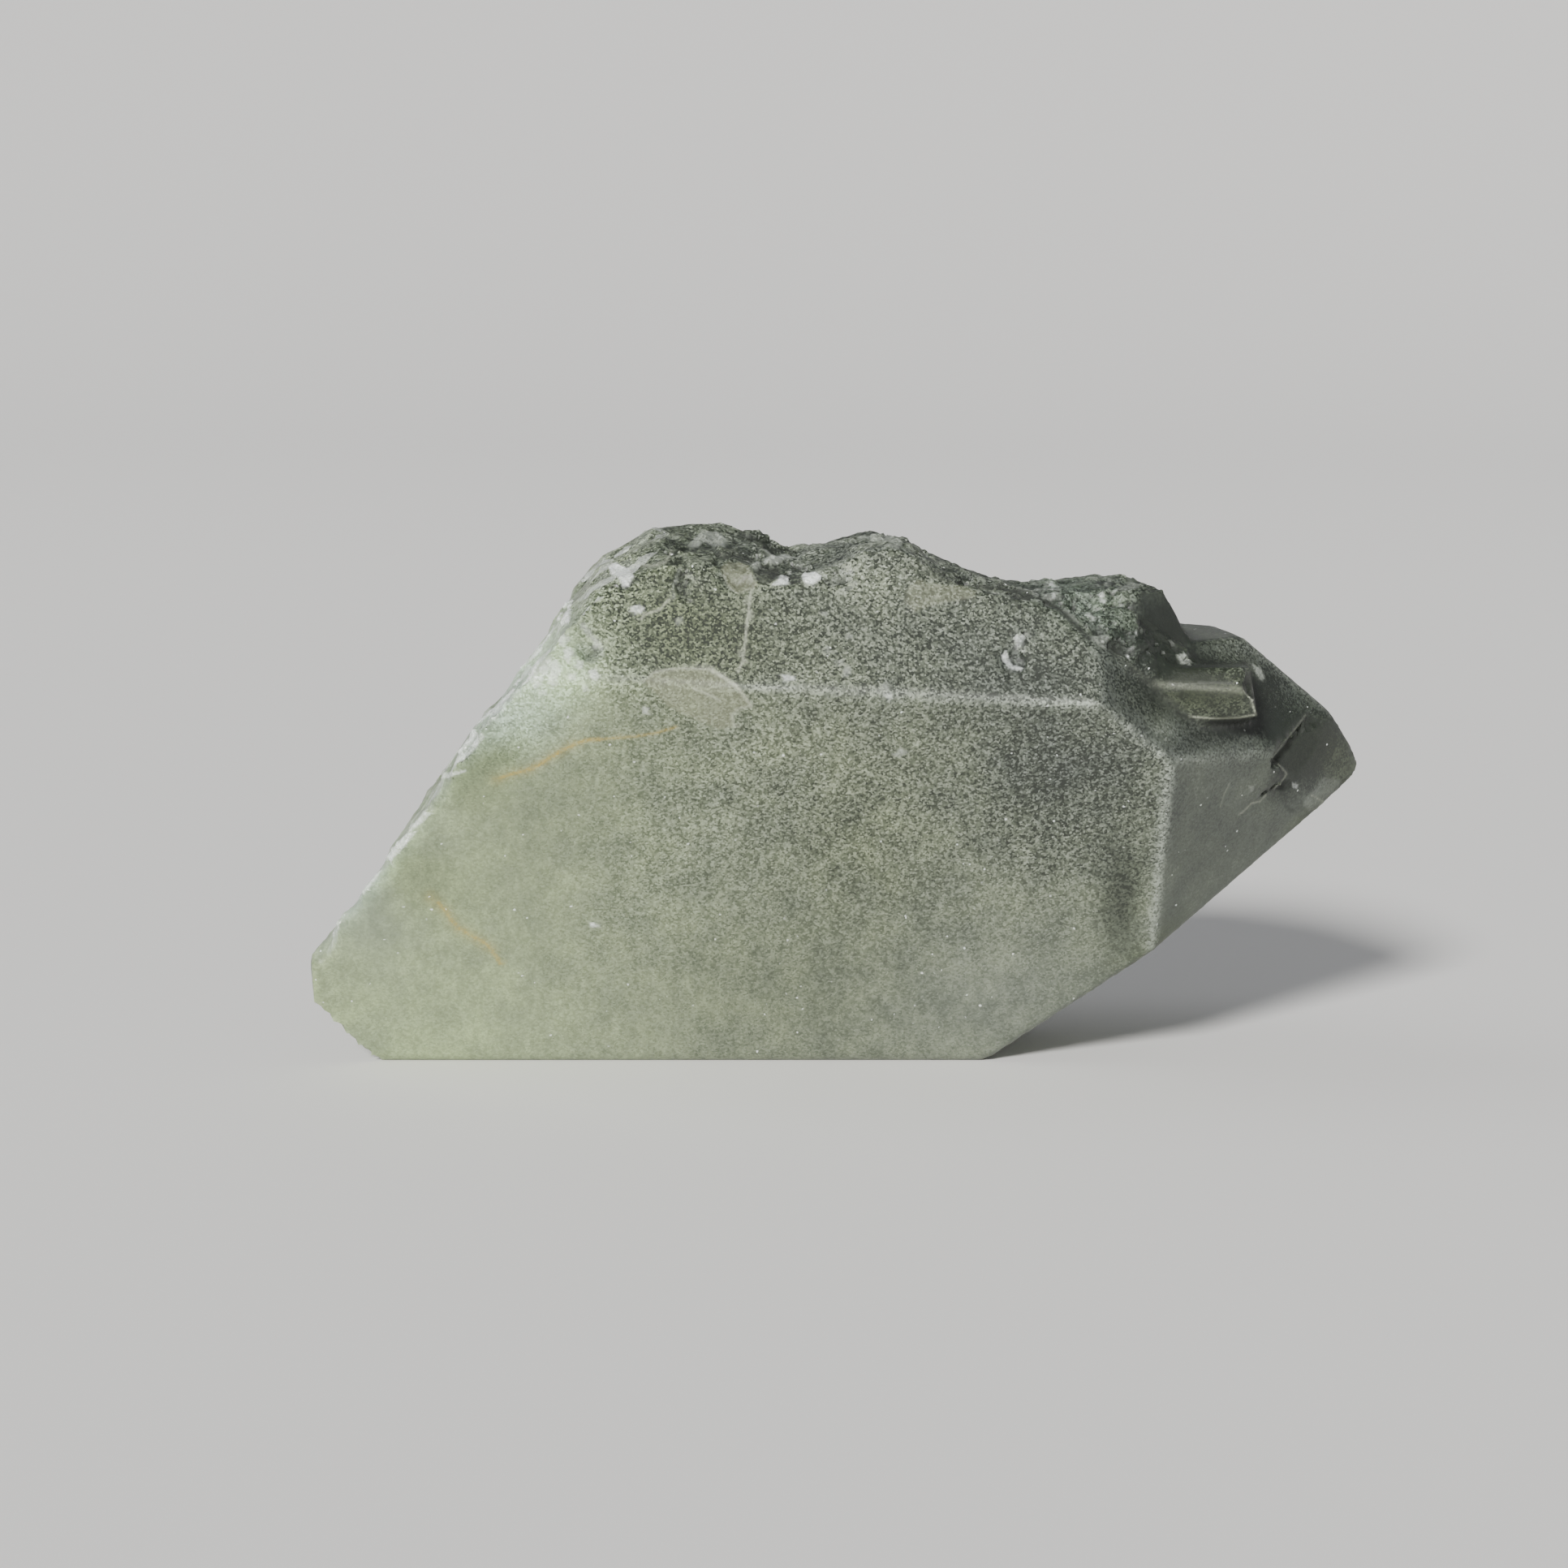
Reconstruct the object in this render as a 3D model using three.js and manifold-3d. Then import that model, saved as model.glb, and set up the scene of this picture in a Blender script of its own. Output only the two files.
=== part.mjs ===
// A chlorite-filled quartz crystal, broken at one end, lying flat as one solid piece.
// Millimetres, +Z up. The long axis of the crystal runs along X, with its point at +X.
// While it is built, the origin is the corner of the foot where the big front face, the
// table and the lower point face meet. The finished solid is then centred over its base.
import * as THREE from 'three';
import { mergeVertices } from 'three/addons/utils/BufferGeometryUtils.js';
import Module from 'manifold-3d';

const wasm = await Module();
wasm.setup();

// ---- driving dimensions ----

const footLength = 37; // front edge of the foot, along X
const prismRoll = 2.65; // how far the crystal is rolled from lying square on a prism face
const pointLean = 51.8; // angle between the long axis and the normal of a point face
const reach = 60; // half the width of the blocks that cut the faces

// Each face is an outward direction (turn about Z from +X, lift above level) and its
// distance out from the foot corner.
const frontFace = { turn: -90, lift: -30 + prismRoll, out: 0 };
const upperFace = { turn: -87.1, lift: 30 + prismRoll, out: 22.53 };
const backUpperFace = { turn: 90, lift: 30 - prismRoll, out: 24.6 };
const backLowerFace = { turn: 90, lift: -30 - prismRoll, out: 9.3 };
const foot = { turn: 0, lift: -90, out: 0 };
const pointFaces = [
  { turn: -48.5, lift: -21.2, out: 5.78 },
  { turn: -47.6, lift: 25.1, out: 20.68 },
  { turn: 3.4, lift: pointLean, out: 29.5 },
  { turn: 48.5, lift: 21.2, out: 23.3 },
  { turn: 47, lift: -25.1, out: 9.4 },
  { turn: -2, lift: -52.9, out: 0 },
  { turn: 0, lift: 35.5, out: 29.15 },
];
const upperPoint = pointFaces[1];

const brokenEnd = { turn: 176.4, lift: 34.8, out: 36.75 };
const brokenHeel = { turn: 145.5, lift: -25.2, out: 27.5 };
const brokenCorner = { turn: 172, lift: 0, out: 39.75 };

// ---- small helpers ----

const radians = THREE.MathUtils.degToRad;

function outward(face) {
  const level = Math.cos(radians(face.lift));
  return new THREE.Vector3(
    level * Math.cos(radians(face.turn)),
    level * Math.sin(radians(face.turn)),
    Math.sin(radians(face.lift)),
  );
}

// A face's own axes: across is level, up climbs the face, and the third points outward.
function faceAxes(face) {
  const out = outward(face);
  const level = Math.abs(out.z) > 0.98;
  const across = level
    ? new THREE.Vector3(1, 0, 0)
    : new THREE.Vector3(0, 0, 1).cross(out).normalize();
  const up = out.clone().cross(across).normalize();
  return new THREE.Matrix4().makeBasis(across, up, out);
}

// Sets a geometry, modelled on the XY plane, down on a face.
function ontoFace(geometry, face) {
  geometry.translate(0, 0, face.out);
  return geometry.applyMatrix4(faceAxes(face));
}

function solidOf(geometry) {
  geometry.deleteAttribute('normal');
  geometry.deleteAttribute('uv');
  const merged = mergeVertices(geometry);
  return new wasm.Manifold(
    new wasm.Mesh({
      numProp: 3,
      vertProperties: Float32Array.from(merged.attributes.position.array),
      triVerts: Uint32Array.from(merged.index.array),
    }),
  );
}

// Everything outside a face.
function beyond(face) {
  const block = new THREE.BoxGeometry(2 * reach, 2 * reach, reach);
  return solidOf(ontoFace(block.translate(0, 0, reach / 2), face));
}

// A box between two corners.
function boxBetween(low, high) {
  const block = new THREE.BoxGeometry(high[0] - low[0], high[1] - low[1], high[2] - low[2]);
  block.translate((low[0] + high[0]) / 2, (low[1] + high[1]) / 2, (low[2] + high[2]) / 2);
  return solidOf(block);
}

function cutByFaces(solid, faces) {
  return faces.reduce((left, face) => left.subtract(beyond(face)), solid);
}

// A repeatable number from 0 to 1 for a place on a grid.
function chance(i, j, seed) {
  const wave = Math.sin(i * 127.1 + j * 311.7 + seed * 74.7) * 43758.5453;
  return wave - Math.floor(wave);
}

// Shell-like scoops of a fresh break: 0 at the bottom of each scoop, rising to the sharp
// ridges where neighbouring scoops meet.
function scoops(u, v, size, seed) {
  const column = Math.floor(u / size);
  const row = Math.floor(v / size);
  let height = Infinity;
  for (let i = column - 1; i <= column + 1; i += 1) {
    for (let j = row - 1; j <= row + 1; j += 1) {
      const centreU = (i + 0.15 + 0.7 * chance(i, j, seed)) * size;
      const centreV = (j + 0.15 + 0.7 * chance(i, j, seed + 1)) * size;
      const away = Math.hypot(u - centreU, v - centreV) / size;
      const floor = 0.45 * chance(i, j, seed + 2);
      height = Math.min(height, floor + away * away);
    }
  }
  return height;
}

// Angular broken blocks: each patch has a height and a tilt of its own, about -1 to 1.
function blocks(u, v, size, seed) {
  const column = Math.floor(u / size);
  const row = Math.floor(v / size);
  let nearest = Infinity;
  let height = 0;
  for (let i = column - 1; i <= column + 1; i += 1) {
    for (let j = row - 1; j <= row + 1; j += 1) {
      const offU = u / size - (i + 0.1 + 0.8 * chance(i, j, seed));
      const offV = v / size - (j + 0.1 + 0.8 * chance(i, j, seed + 1));
      const away = Math.hypot(offU, offV);
      if (away < nearest) {
        nearest = away;
        height = 1.2 * (chance(i, j, seed + 2) - 0.5)
          + 1.6 * offU * (chance(i, j, seed + 3) - 0.5)
          + 1.6 * offV * (chance(i, j, seed + 4) - 0.5);
      }
    }
  }
  return height;
}

// A thick sheet with a rough inner side, laid on a face to break it away. The relief gives
// how far the inner side stands out from the face at each place.
function roughSheet(face, patch, relief) {
  const width = patch.right - patch.left;
  const height = patch.top - patch.bottom;
  const sheet = new THREE.BoxGeometry(
    width,
    height,
    patch.thick,
    Math.round(width / patch.cell),
    Math.round(height / patch.cell),
    1,
  );
  sheet.translate((patch.left + patch.right) / 2, (patch.bottom + patch.top) / 2, patch.thick / 2);
  const places = sheet.attributes.position;
  for (let k = 0; k < places.count; k += 1) {
    if (places.getZ(k) > patch.thick / 2) continue;
    const u = places.getX(k);
    const v = places.getY(k);
    const shiftU = (chance(Math.round(u * 50), Math.round(v * 50), 5) - 0.5) * 0.6 * patch.cell;
    const shiftV = (chance(Math.round(u * 50), Math.round(v * 50), 6) - 0.5) * 0.6 * patch.cell;
    places.setXYZ(k, u + shiftU, v + shiftV, relief(u + shiftU, v + shiftV));
  }
  return solidOf(ontoFace(sheet, face));
}

// A ball that bites a shallow dish, or a flake scar, out of a face.
function dish(face, spot) {
  const radius = (spot.wide * spot.wide) / (8 * spot.deep) + spot.deep / 2;
  const ball = new THREE.IcosahedronGeometry(radius, spot.detail ?? 9);
  ball.scale(1, (spot.tall ?? spot.wide) / spot.wide, 1);
  ball.rotateZ(radians(spot.spin ?? 0));
  ball.translate(spot.u, spot.v, radius - spot.deep);
  return solidOf(ontoFace(ball, face));
}

// ---- the main crystal ----

// The skyline of the overgrown top, from the broken end to the shoulder: x and height.
const skyline = [
  [-30, 25.6],
  [-25.5, 27.9],
  [-23.3, 30.0],
  [-20.2, 32.2],
  [-17.6, 32.2],
  [-14.4, 31.8],
  [-12.3, 30.8],
  [-10.5, 31.1],
  [-7.8, 31.75],
  [-5.7, 31.8],
  [-4, 30.6],
  [-1, 29.5],
  [1, 29.0],
  [4.2, 28.9],
  [6.4, 29.4],
  [10, 29.0],
  [18, 28.6],
];
const crestY = 2; // how far back the skyline lies
// How far the top falls from the skyline to its front edge: x and drop.
const frontFalls = [
  [-30, 0.3],
  [-24, 0.6],
  [-20.5, 1.7],
  [-14, 1.7],
  [-11, 1.1],
  [-8, 0.5],
  [-3, 0.5],
  [2, 0.1],
  [18, 0],
];
// Broad knobs on the top: place, half widths and height.
const topLumps = [
  { x: -21.4, y: -5, wide: 2.6, deep: 2.4, rise: 0.7 },
  { x: -16.4, y: -5.6, wide: 1.8, deep: 2.2, rise: 0.6 },
  { x: -25, y: 9, wide: 3.5, deep: 4, rise: 1.3 },
  { x: -15, y: 12, wide: 5, deep: 4, rise: 1.8 },
  { x: -4.5, y: 10.5, wide: 3.6, deep: 4.5, rise: 1.5 },
  { x: 4, y: 8, wide: 3, deep: 3.4, rise: 0.9 },
];

function alongLine(points, x) {
  const next = points.findIndex((point) => point[0] > x);
  if (next === 0) return points[0][1];
  if (next < 0) return points[points.length - 1][1];
  const [x0, z0] = points[next - 1];
  const [x1, z1] = points[next];
  return THREE.MathUtils.lerp(z0, z1, (x - x0) / (x1 - x0));
}

function topHeight(x, y) {
  const forward = THREE.MathUtils.clamp((crestY - y) / 10, 0, 1.2);
  const back = Math.max(0, y - crestY);
  let height = alongLine(skyline, x);
  height -= alongLine(frontFalls, x) * forward;
  height -= 0.16 * back + 0.009 * back * back;
  for (const lump of topLumps) {
    const away = Math.hypot((x - lump.x) / lump.wide, (y - lump.y) / lump.deep);
    height += lump.rise * Math.exp(-away * away);
  }
  const roughness = (x > -1 ? 0.55 : 1) + 0.05 * back;
  return height + roughness * (0.5 * scoops(x, y, 2.7, 11) + 0.3 * blocks(x, y, 2.9, 21) - 0.2);
}

function breakRelief(u, v) {
  return 1.5 * scoops(u, v, 9, 31) + 0.5 * scoops(u, v, 3.2, 41) - 1.1;
}

function heelRelief(u, v) {
  return 0.6 * scoops(u, v, 4.5, 51) - 0.3;
}

function mainCrystal() {
  const block = boxBetween([-footLength - 6, -20, -1], [30, 30, 36]);
  const faces = [frontFace, upperFace, backUpperFace, backLowerFace, foot, ...pointFaces];
  return cutByFaces(block, faces)
    .subtract(beyond(brokenCorner))
    .subtract(roughSheet(
      { turn: 0, lift: 90, out: 0 },
      { left: -38, right: 18, bottom: -14, top: 24, thick: 60, cell: 1.05 },
      topHeight,
    ))
    .subtract(roughSheet(
      brokenEnd,
      { left: -30, right: 24, bottom: -22, top: 52, thick: 24, cell: 1.6 },
      breakRelief,
    ))
    .subtract(roughSheet(
      brokenHeel,
      { left: -22, right: 40, bottom: -26, top: 24, thick: 24, cell: 1.7 },
      heelRelief,
    ));
}

// ---- the broken shoulder, where a parallel crystal grew over the point ----

const overgrowthFront = { turn: -87.1, lift: 30 + prismRoll, out: 20.3 };
const seamTop = { turn: 67.9, lift: 50.1, out: 17.37 };
const seamSlope = { turn: -17.1, lift: 49.2, out: 24.7 };
const shoulderEnd = { turn: 8, lift: 27, out: 21.15 };
const shoulderLedge = { turn: 0, lift: 88, out: 25.9 };
const crackWide = 0.35;
const crackDeep = 1.3;

function overgrowthRelief(u, v) {
  return 0.6 * scoops(u, v, 2.6, 61) + 0.5 * blocks(u, v, 2, 71) - 0.3;
}

function outside(face, inset = 0) {
  return beyond({ ...face, out: face.out - inset });
}

// What is missing in front of the overgrowth, above the seam that it meets the main
// crystal along.
function shoulderRecess() {
  return roughSheet(
    overgrowthFront,
    { left: -3.5, right: 11.5, bottom: 10, top: 30, thick: 8, cell: 0.85 },
    overgrowthRelief,
  )
    .intersect(beyond(seamTop).add(beyond(seamSlope)))
    .intersect(boxBetween([-2.4, -20, 20], [12, 10, 36]));
}

// The band of rough overgrowth above the seam, standing proud of the upper point face.
const bandOutline = [
  [-4.6, 21.9],
  [-3.0, 19.7],
  [-1.6, 18.3],
  [0.2, 16.8],
  [1.9, 15.4],
  [5.5, 17.1],
  [4.1, 18.6],
  [2.3, 19.9],
  [0.3, 21.4],
];

function overgrowthBand() {
  const outline = new THREE.Shape(bandOutline.map(([u, v]) => new THREE.Vector2(u, v)));
  const slab = new THREE.ExtrudeGeometry(outline, { depth: 4, bevelEnabled: false });
  slab.translate(0, 0, -2);
  return solidOf(ontoFace(slab, upperPoint))
    .subtract(roughSheet(
      upperFace,
      { left: -1, right: 10, bottom: 13, top: 25, thick: 6, cell: 0.8 },
      (u, v) => 0.7 * scoops(u, v, 2.1, 101) + 0.5 * blocks(u, v, 1.8, 111) - 0.9,
    ))
    .subtract(roughSheet(
      upperPoint,
      { left: -7, right: 8, bottom: 13, top: 24, thick: 6, cell: 0.75 },
      (u, v) => 0.5 + 0.5 * scoops(u, v, 1.9, 81) + 0.5 * blocks(u, v, 1.7, 91),
    ));
}

// The open crack along the seam.
function seamCrack() {
  const above = beyond(seamTop).add(beyond(seamSlope));
  const farAbove = outside(seamTop, -crackWide).add(outside(seamSlope, -crackWide));
  return above
    .subtract(farAbove)
    .intersect(outside(upperFace, crackDeep).add(outside(upperPoint, crackDeep)))
    .intersect(boxBetween([-1.5, -20, 22.2], [10.2, 0, 30.5]));
}

// The stair in the crystal's outline right of the shoulder.
function shoulderStair() {
  return beyond(shoulderLedge)
    .intersect(beyond(shoulderEnd))
    .intersect(boxBetween([8, -12, 23], [24, 16, 36]));
}

// The thin prism, grown parallel to the main crystal, that stands out over the point.
const sliver = {
  rimY: -7.36,
  rimZ: 21.67,
  lowerWide: 2.2,
  upperWide: 1.3,
  deep: 6,
  left: 5.5,
  right: 15.0,
};

const sliverEnd = { turn: -8, lift: 10, out: 19.2 }; // its slanting right-hand end

function sliverPrism() {
  const lower = radians(30 - prismRoll);
  const upper = radians(30 + prismRoll);
  const edgeY = sliver.rimY - sliver.lowerWide * Math.sin(lower);
  const edgeZ = sliver.rimZ + sliver.lowerWide * Math.cos(lower);
  const topY = edgeY + sliver.upperWide * Math.sin(upper);
  const topZ = edgeZ + sliver.upperWide * Math.cos(upper);
  const section = new THREE.Shape([
    new THREE.Vector2(sliver.rimY, sliver.rimZ),
    new THREE.Vector2(sliver.rimY + sliver.deep, sliver.rimZ - 0.3),
    new THREE.Vector2(topY + sliver.deep, topZ - 0.3),
    new THREE.Vector2(topY, topZ),
    new THREE.Vector2(edgeY, edgeZ),
  ]);
  const bar = new THREE.ExtrudeGeometry(section, {
    depth: sliver.right - sliver.left,
    bevelEnabled: false,
  });
  bar.applyMatrix4(new THREE.Matrix4().makeBasis(
    new THREE.Vector3(0, 1, 0),
    new THREE.Vector3(0, 0, 1),
    new THREE.Vector3(1, 0, 0),
  ));
  bar.translate(sliver.left, 0, 0);
  const bite = new THREE.IcosahedronGeometry(1.5, 4);
  bite.translate(sliver.right + 0.4, topY - 0.5, edgeZ + 0.25);
  return solidOf(bar)
    .subtract(beyond(sliverEnd))
    .subtract(solidOf(bite));
}

// ---- the point, whose outermost layer has flaked away behind a zigzag step ----

const flakedFloor = { turn: -54.1, lift: 14.0, out: 15.93 };
const flakedLowFloor = { turn: -48.1, lift: -7.5, out: 10.19 };
const flakedOutline = [
  [14.2, 13.7],
  [9.4, 11.35],
  [11.7, 10.5],
  [10.85, 9.9],
  [9.3, 9.45],
  [6.1, 9.1],
  [17.8, 7.4],
  [24, 7.8],
  [24, 13.2],
];

function flakedPoint() {
  const outline = new THREE.Shape(flakedOutline.map(([u, v]) => new THREE.Vector2(u, v)));
  const slab = new THREE.ExtrudeGeometry(outline, { depth: 14, bevelEnabled: false });
  slab.translate(0, 0, -8);
  return solidOf(ontoFace(slab, upperPoint))
    .intersect(beyond(flakedFloor).add(beyond(flakedLowFloor)));
}

// ---- chips, pits and flake scars ----

const frontScars = [
  { u: -6.6, v: 22.4, wide: 0.9, tall: 0.5, deep: 0.15, spin: 20, detail: 5 },
  { u: -29.2, v: 27.6, wide: 3.6, tall: 2.4, deep: 0.3, spin: 40 },
];

const upperScars = [
  { u: -0.5, v: 15.6, wide: 1.5, tall: 1.7, deep: 0.4, spin: 15, detail: 3 },
  { u: -0.1, v: 17.2, wide: 0.8, tall: 0.6, deep: 0.25, detail: 3 },
  { u: -16.2, v: 21.1, wide: 2.4, tall: 2.1, deep: 0.35, spin: -30, detail: 3 },
  { u: -19.3, v: 20.5, wide: 1.0, tall: 2.9, deep: 0.4, spin: 8, detail: 3 },
  { u: -22.9, v: 21.3, wide: 1.7, tall: 2.1, deep: 0.4, spin: 25, detail: 3 },
  { u: -24.8, v: 16.1, wide: 1.6, tall: 1.2, deep: 0.45, detail: 3 },
  { u: -26.2, v: 18.9, wide: 1.6, tall: 2.2, deep: 0.6, spin: -25, detail: 3 },
  { u: -10.4, v: 21.0, wide: 2.2, tall: 1.0, deep: 0.3, spin: 5, detail: 3 },
  { u: -13.2, v: 21.4, wide: 2.2, tall: 1.1, deep: 0.3, spin: -5, detail: 3 },
];

// Curved flakes off the thin front rim of the broken end: how far up the rim, the radius
// of the curve and how deep it bites.
const rimNicks = [
  { up: 0.08, radius: 2.2, deep: 0.25 },
  { up: 0.21, radius: 1.6, deep: 0.18 },
  { up: 0.34, radius: 3.4, deep: 0.22 },
  { up: 0.5, radius: 1.8, deep: 0.16 },
  { up: 0.62, radius: 3.2, deep: 0.3 },
  { up: 0.77, radius: 2.2, deep: 0.18 },
  { up: 0.91, radius: 2.8, deep: 0.26 },
];
// The ends of that rim, above the table and under the top.
const rimLow = new THREE.Vector3(-40.4, -3.1, 6);
const rimHigh = new THREE.Vector3(-28.3, -12.5, 24.2);

function rimNick({ up, radius, deep }) {
  const ball = new THREE.IcosahedronGeometry(radius, 5);
  const away = outward(brokenEnd).addScaledVector(outward(frontFace), 0.25).normalize();
  const place = rimLow.clone().lerp(rimHigh, up).addScaledVector(away, radius - deep);
  ball.translate(place.x, place.y, place.z);
  return solidOf(ball);
}

// ---- the back, which grew in low steps and lost a few flakes ----

const backSteps = [
  {
    face: backUpperFace,
    down: 0.6,
    outline: [[-30, 0], [-30, 18], [-7, 18], [-1.5, 11.5], [9, 11.5], [13.5, 5], [13.5, 0]],
  },
  {
    face: backLowerFace,
    down: 0.5,
    outline: [[17, 4], [17, 13], [22, 17.6], [60, 17.6], [60, 0], [17, 0]],
  },
];

function backStep({ face, down, outline }) {
  const shape = new THREE.Shape(outline.map(([u, v]) => new THREE.Vector2(u, v)));
  const slab = new THREE.ExtrudeGeometry(shape, { depth: 6, bevelEnabled: false });
  slab.translate(0, 0, -down);
  return solidOf(ontoFace(slab, face));
}

const backScars = [
  { face: backUpperFace, u: 21, v: 4.2, wide: 8, tall: 6, deep: 0.9, spin: 12 },
  { face: backUpperFace, u: 5, v: 19.6, wide: 5.2, tall: 4, deep: 0.7, spin: -20 },
  { face: backLowerFace, u: 4, v: 8, wide: 6, tall: 4, deep: 0.5, spin: 30 },
  { face: backLowerFace, u: 30, v: 21.5, wide: 4.4, tall: 3, deep: 0.5 },
];

// ---- the whole crystal ----

function crystalSolid() {
  let solid = mainCrystal()
    .subtract(shoulderRecess())
    .subtract(shoulderStair())
    .subtract(flakedPoint())
    .add(overgrowthBand())
    .subtract(seamCrack())
    .add(sliverPrism());
  for (const scar of frontScars) solid = solid.subtract(dish(frontFace, scar));
  for (const scar of upperScars) solid = solid.subtract(dish(upperFace, scar));
  for (const nick of rimNicks) solid = solid.subtract(rimNick(nick));
  for (const step of backSteps) solid = solid.subtract(backStep(step));
  for (const scar of backScars) solid = solid.subtract(dish(scar.face, scar));
  return solid;
}

function geometryOf(solid) {
  const mesh = solid.getMesh();
  const geometry = new THREE.BufferGeometry();
  geometry.setAttribute('position', new THREE.BufferAttribute(mesh.vertProperties, 3));
  geometry.setIndex(new THREE.BufferAttribute(mesh.triVerts, 1));
  return geometry;
}

const stone = new THREE.MeshStandardMaterial({ color: 0x8b9585, roughness: 0.6, metalness: 0 });
const crystal = new THREE.Mesh(geometryOf(crystalSolid()), stone);
crystal.name = 'quartz_crystal';
crystal.geometry.computeBoundingBox();
const box = crystal.geometry.boundingBox;
crystal.position.set(-(box.min.x + box.max.x) / 2, -(box.min.y + box.max.y) / 2, -box.min.z);

const part = new THREE.Group();
part.add(crystal);

export default part;
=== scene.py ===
import math

import bmesh
import bpy
import numpy as np
from mathutils import Matrix, Vector, noise
from mathutils.bvhtree import BVHTree


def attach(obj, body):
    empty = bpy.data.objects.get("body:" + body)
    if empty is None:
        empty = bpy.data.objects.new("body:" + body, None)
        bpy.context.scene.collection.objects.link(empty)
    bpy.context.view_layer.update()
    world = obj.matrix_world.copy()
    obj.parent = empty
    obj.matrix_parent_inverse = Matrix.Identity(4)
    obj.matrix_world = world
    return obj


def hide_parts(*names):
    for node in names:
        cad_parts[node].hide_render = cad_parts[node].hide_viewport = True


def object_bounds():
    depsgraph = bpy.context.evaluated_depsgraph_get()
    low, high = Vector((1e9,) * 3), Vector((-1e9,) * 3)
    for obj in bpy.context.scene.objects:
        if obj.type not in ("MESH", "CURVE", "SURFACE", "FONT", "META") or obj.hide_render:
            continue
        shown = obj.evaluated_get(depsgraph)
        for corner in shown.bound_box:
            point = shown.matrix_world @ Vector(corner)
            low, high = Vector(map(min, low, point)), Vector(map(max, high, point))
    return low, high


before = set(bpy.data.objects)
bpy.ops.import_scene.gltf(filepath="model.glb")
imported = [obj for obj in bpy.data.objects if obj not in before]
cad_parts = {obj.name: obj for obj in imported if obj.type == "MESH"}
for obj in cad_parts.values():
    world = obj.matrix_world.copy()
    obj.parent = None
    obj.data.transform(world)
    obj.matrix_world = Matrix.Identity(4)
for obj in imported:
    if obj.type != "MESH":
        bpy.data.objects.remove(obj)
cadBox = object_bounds()
mm = 0.001


# small helpers

def direction(turn, lift):
    level = math.cos(math.radians(lift))
    return np.array([
        level * math.cos(math.radians(turn)),
        level * math.sin(math.radians(turn)),
        math.sin(math.radians(lift)),
    ])


# a soft step from 0 to 1 between two values
def smooth(low, high, value):
    share = np.clip((value - low) / (high - low), 0, 1)
    return share * share * (3 - 2 * share)


def bump(value, wide):
    return np.exp(-(value / wide) ** 2)


def addSocket(tree, kind, inputs, settings=None, output=0):
    made = tree.nodes.new(kind)
    for name, value in (settings or {}).items():
        setattr(made, name, value)
    for name, value in inputs.items():
        if isinstance(value, bpy.types.NodeSocket):
            tree.links.new(value, made.inputs[name])
        else:
            made.inputs[name].default_value = value
    return made.outputs[output]


def maths(tree, how, first, second=0.0, third=0.0, clamp=False):
    return addSocket(tree, "ShaderNodeMath", {0: first, 1: second, 2: third},
                     {"operation": how, "use_clamp": clamp})


def times(tree, first, second, clamp=False):
    return maths(tree, "MULTIPLY", first, second, clamp=clamp)


def plus(tree, first, second, clamp=False):
    return maths(tree, "ADD", first, second, clamp=clamp)


def attribute(tree, name):
    return addSocket(tree, "ShaderNodeAttribute", {}, {"attribute_name": name}, "Fac")


def blendColour(tree, share, first, second, how="MIX"):
    return addSocket(tree, "ShaderNodeMix", {0: share, 6: first, 7: second},
                     {"data_type": "RGBA", "blend_type": how}, 2)


# a value between low and high, stretched to another range
def spread(tree, value, low, high, to=(0.0, 1.0)):
    return addSocket(tree, "ShaderNodeMapRange", {
        "Value": value, "From Min": low, "From Max": high, "To Min": to[0], "To Max": to[1]})


# camera and light come first, so that every piece can be looked at from the start

view = {
    "place": (-20.33, -268.35, 49.35),  # mm
    "yaw": -3.6,  # degrees, turned a little to the right
    "down": 7.0,
    "roll": 0.661,
    "lens": 102.48,
    "sensor": 36.0,
    "nearest": 0.01,  # m
    "farthest": 50,
}


def addCamera():
    data = bpy.data.cameras.new("camera")
    data.lens = view["lens"]
    data.sensor_width = view["sensor"]
    data.clip_start = view["nearest"]
    data.clip_end = view["farthest"]
    camera = bpy.data.objects.new("camera", data)
    bpy.context.scene.collection.objects.link(camera)
    turn = Matrix.Rotation(math.radians(view["yaw"]), 4, "Z")
    tilt = Matrix.Rotation(math.radians(90 - view["down"]), 4, "X")
    roll = Matrix.Rotation(math.radians(view["roll"]), 4, "Z")
    camera.matrix_world = Matrix.Translation(Vector(view["place"]) * mm) @ turn @ tilt @ roll
    bpy.context.scene.camera = camera


studio = {
    "paperColour": (0.77, 0.765, 0.75),
    "farColour": (0.50, 0.495, 0.49),  # the paper darkens a little as it sweeps up
    "darkerFrom": 0.4,  # m from the middle
    "paperReach": 3.0,  # m from the middle to the rim
    "paperFlat": 0.8,  # m that lies level round the crystal
    "paperRise": 0.55,
    "paperDrop": 0.02,  # mm below the crystal's foot
    "paperCells": 80,
    "paperRoughness": 0.75,
    "air": (0.93, 0.95, 1.0),
    "airStrength": 0.23,
    # each soft light: where it stands (turn about Z from +X, lift above level), how many
    # degrees of the sky it fills, and how strong it is
    "suns": [
        {"name": "window", "turn": -110, "lift": 25, "wide": 10, "power": 6.6,
         "colour": (1.0, 0.985, 0.96)},
        {"name": "side", "turn": 172, "lift": 40, "wide": 45, "power": 0.55,
         "colour": (0.96, 0.98, 1.0)},
    ],
}


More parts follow.
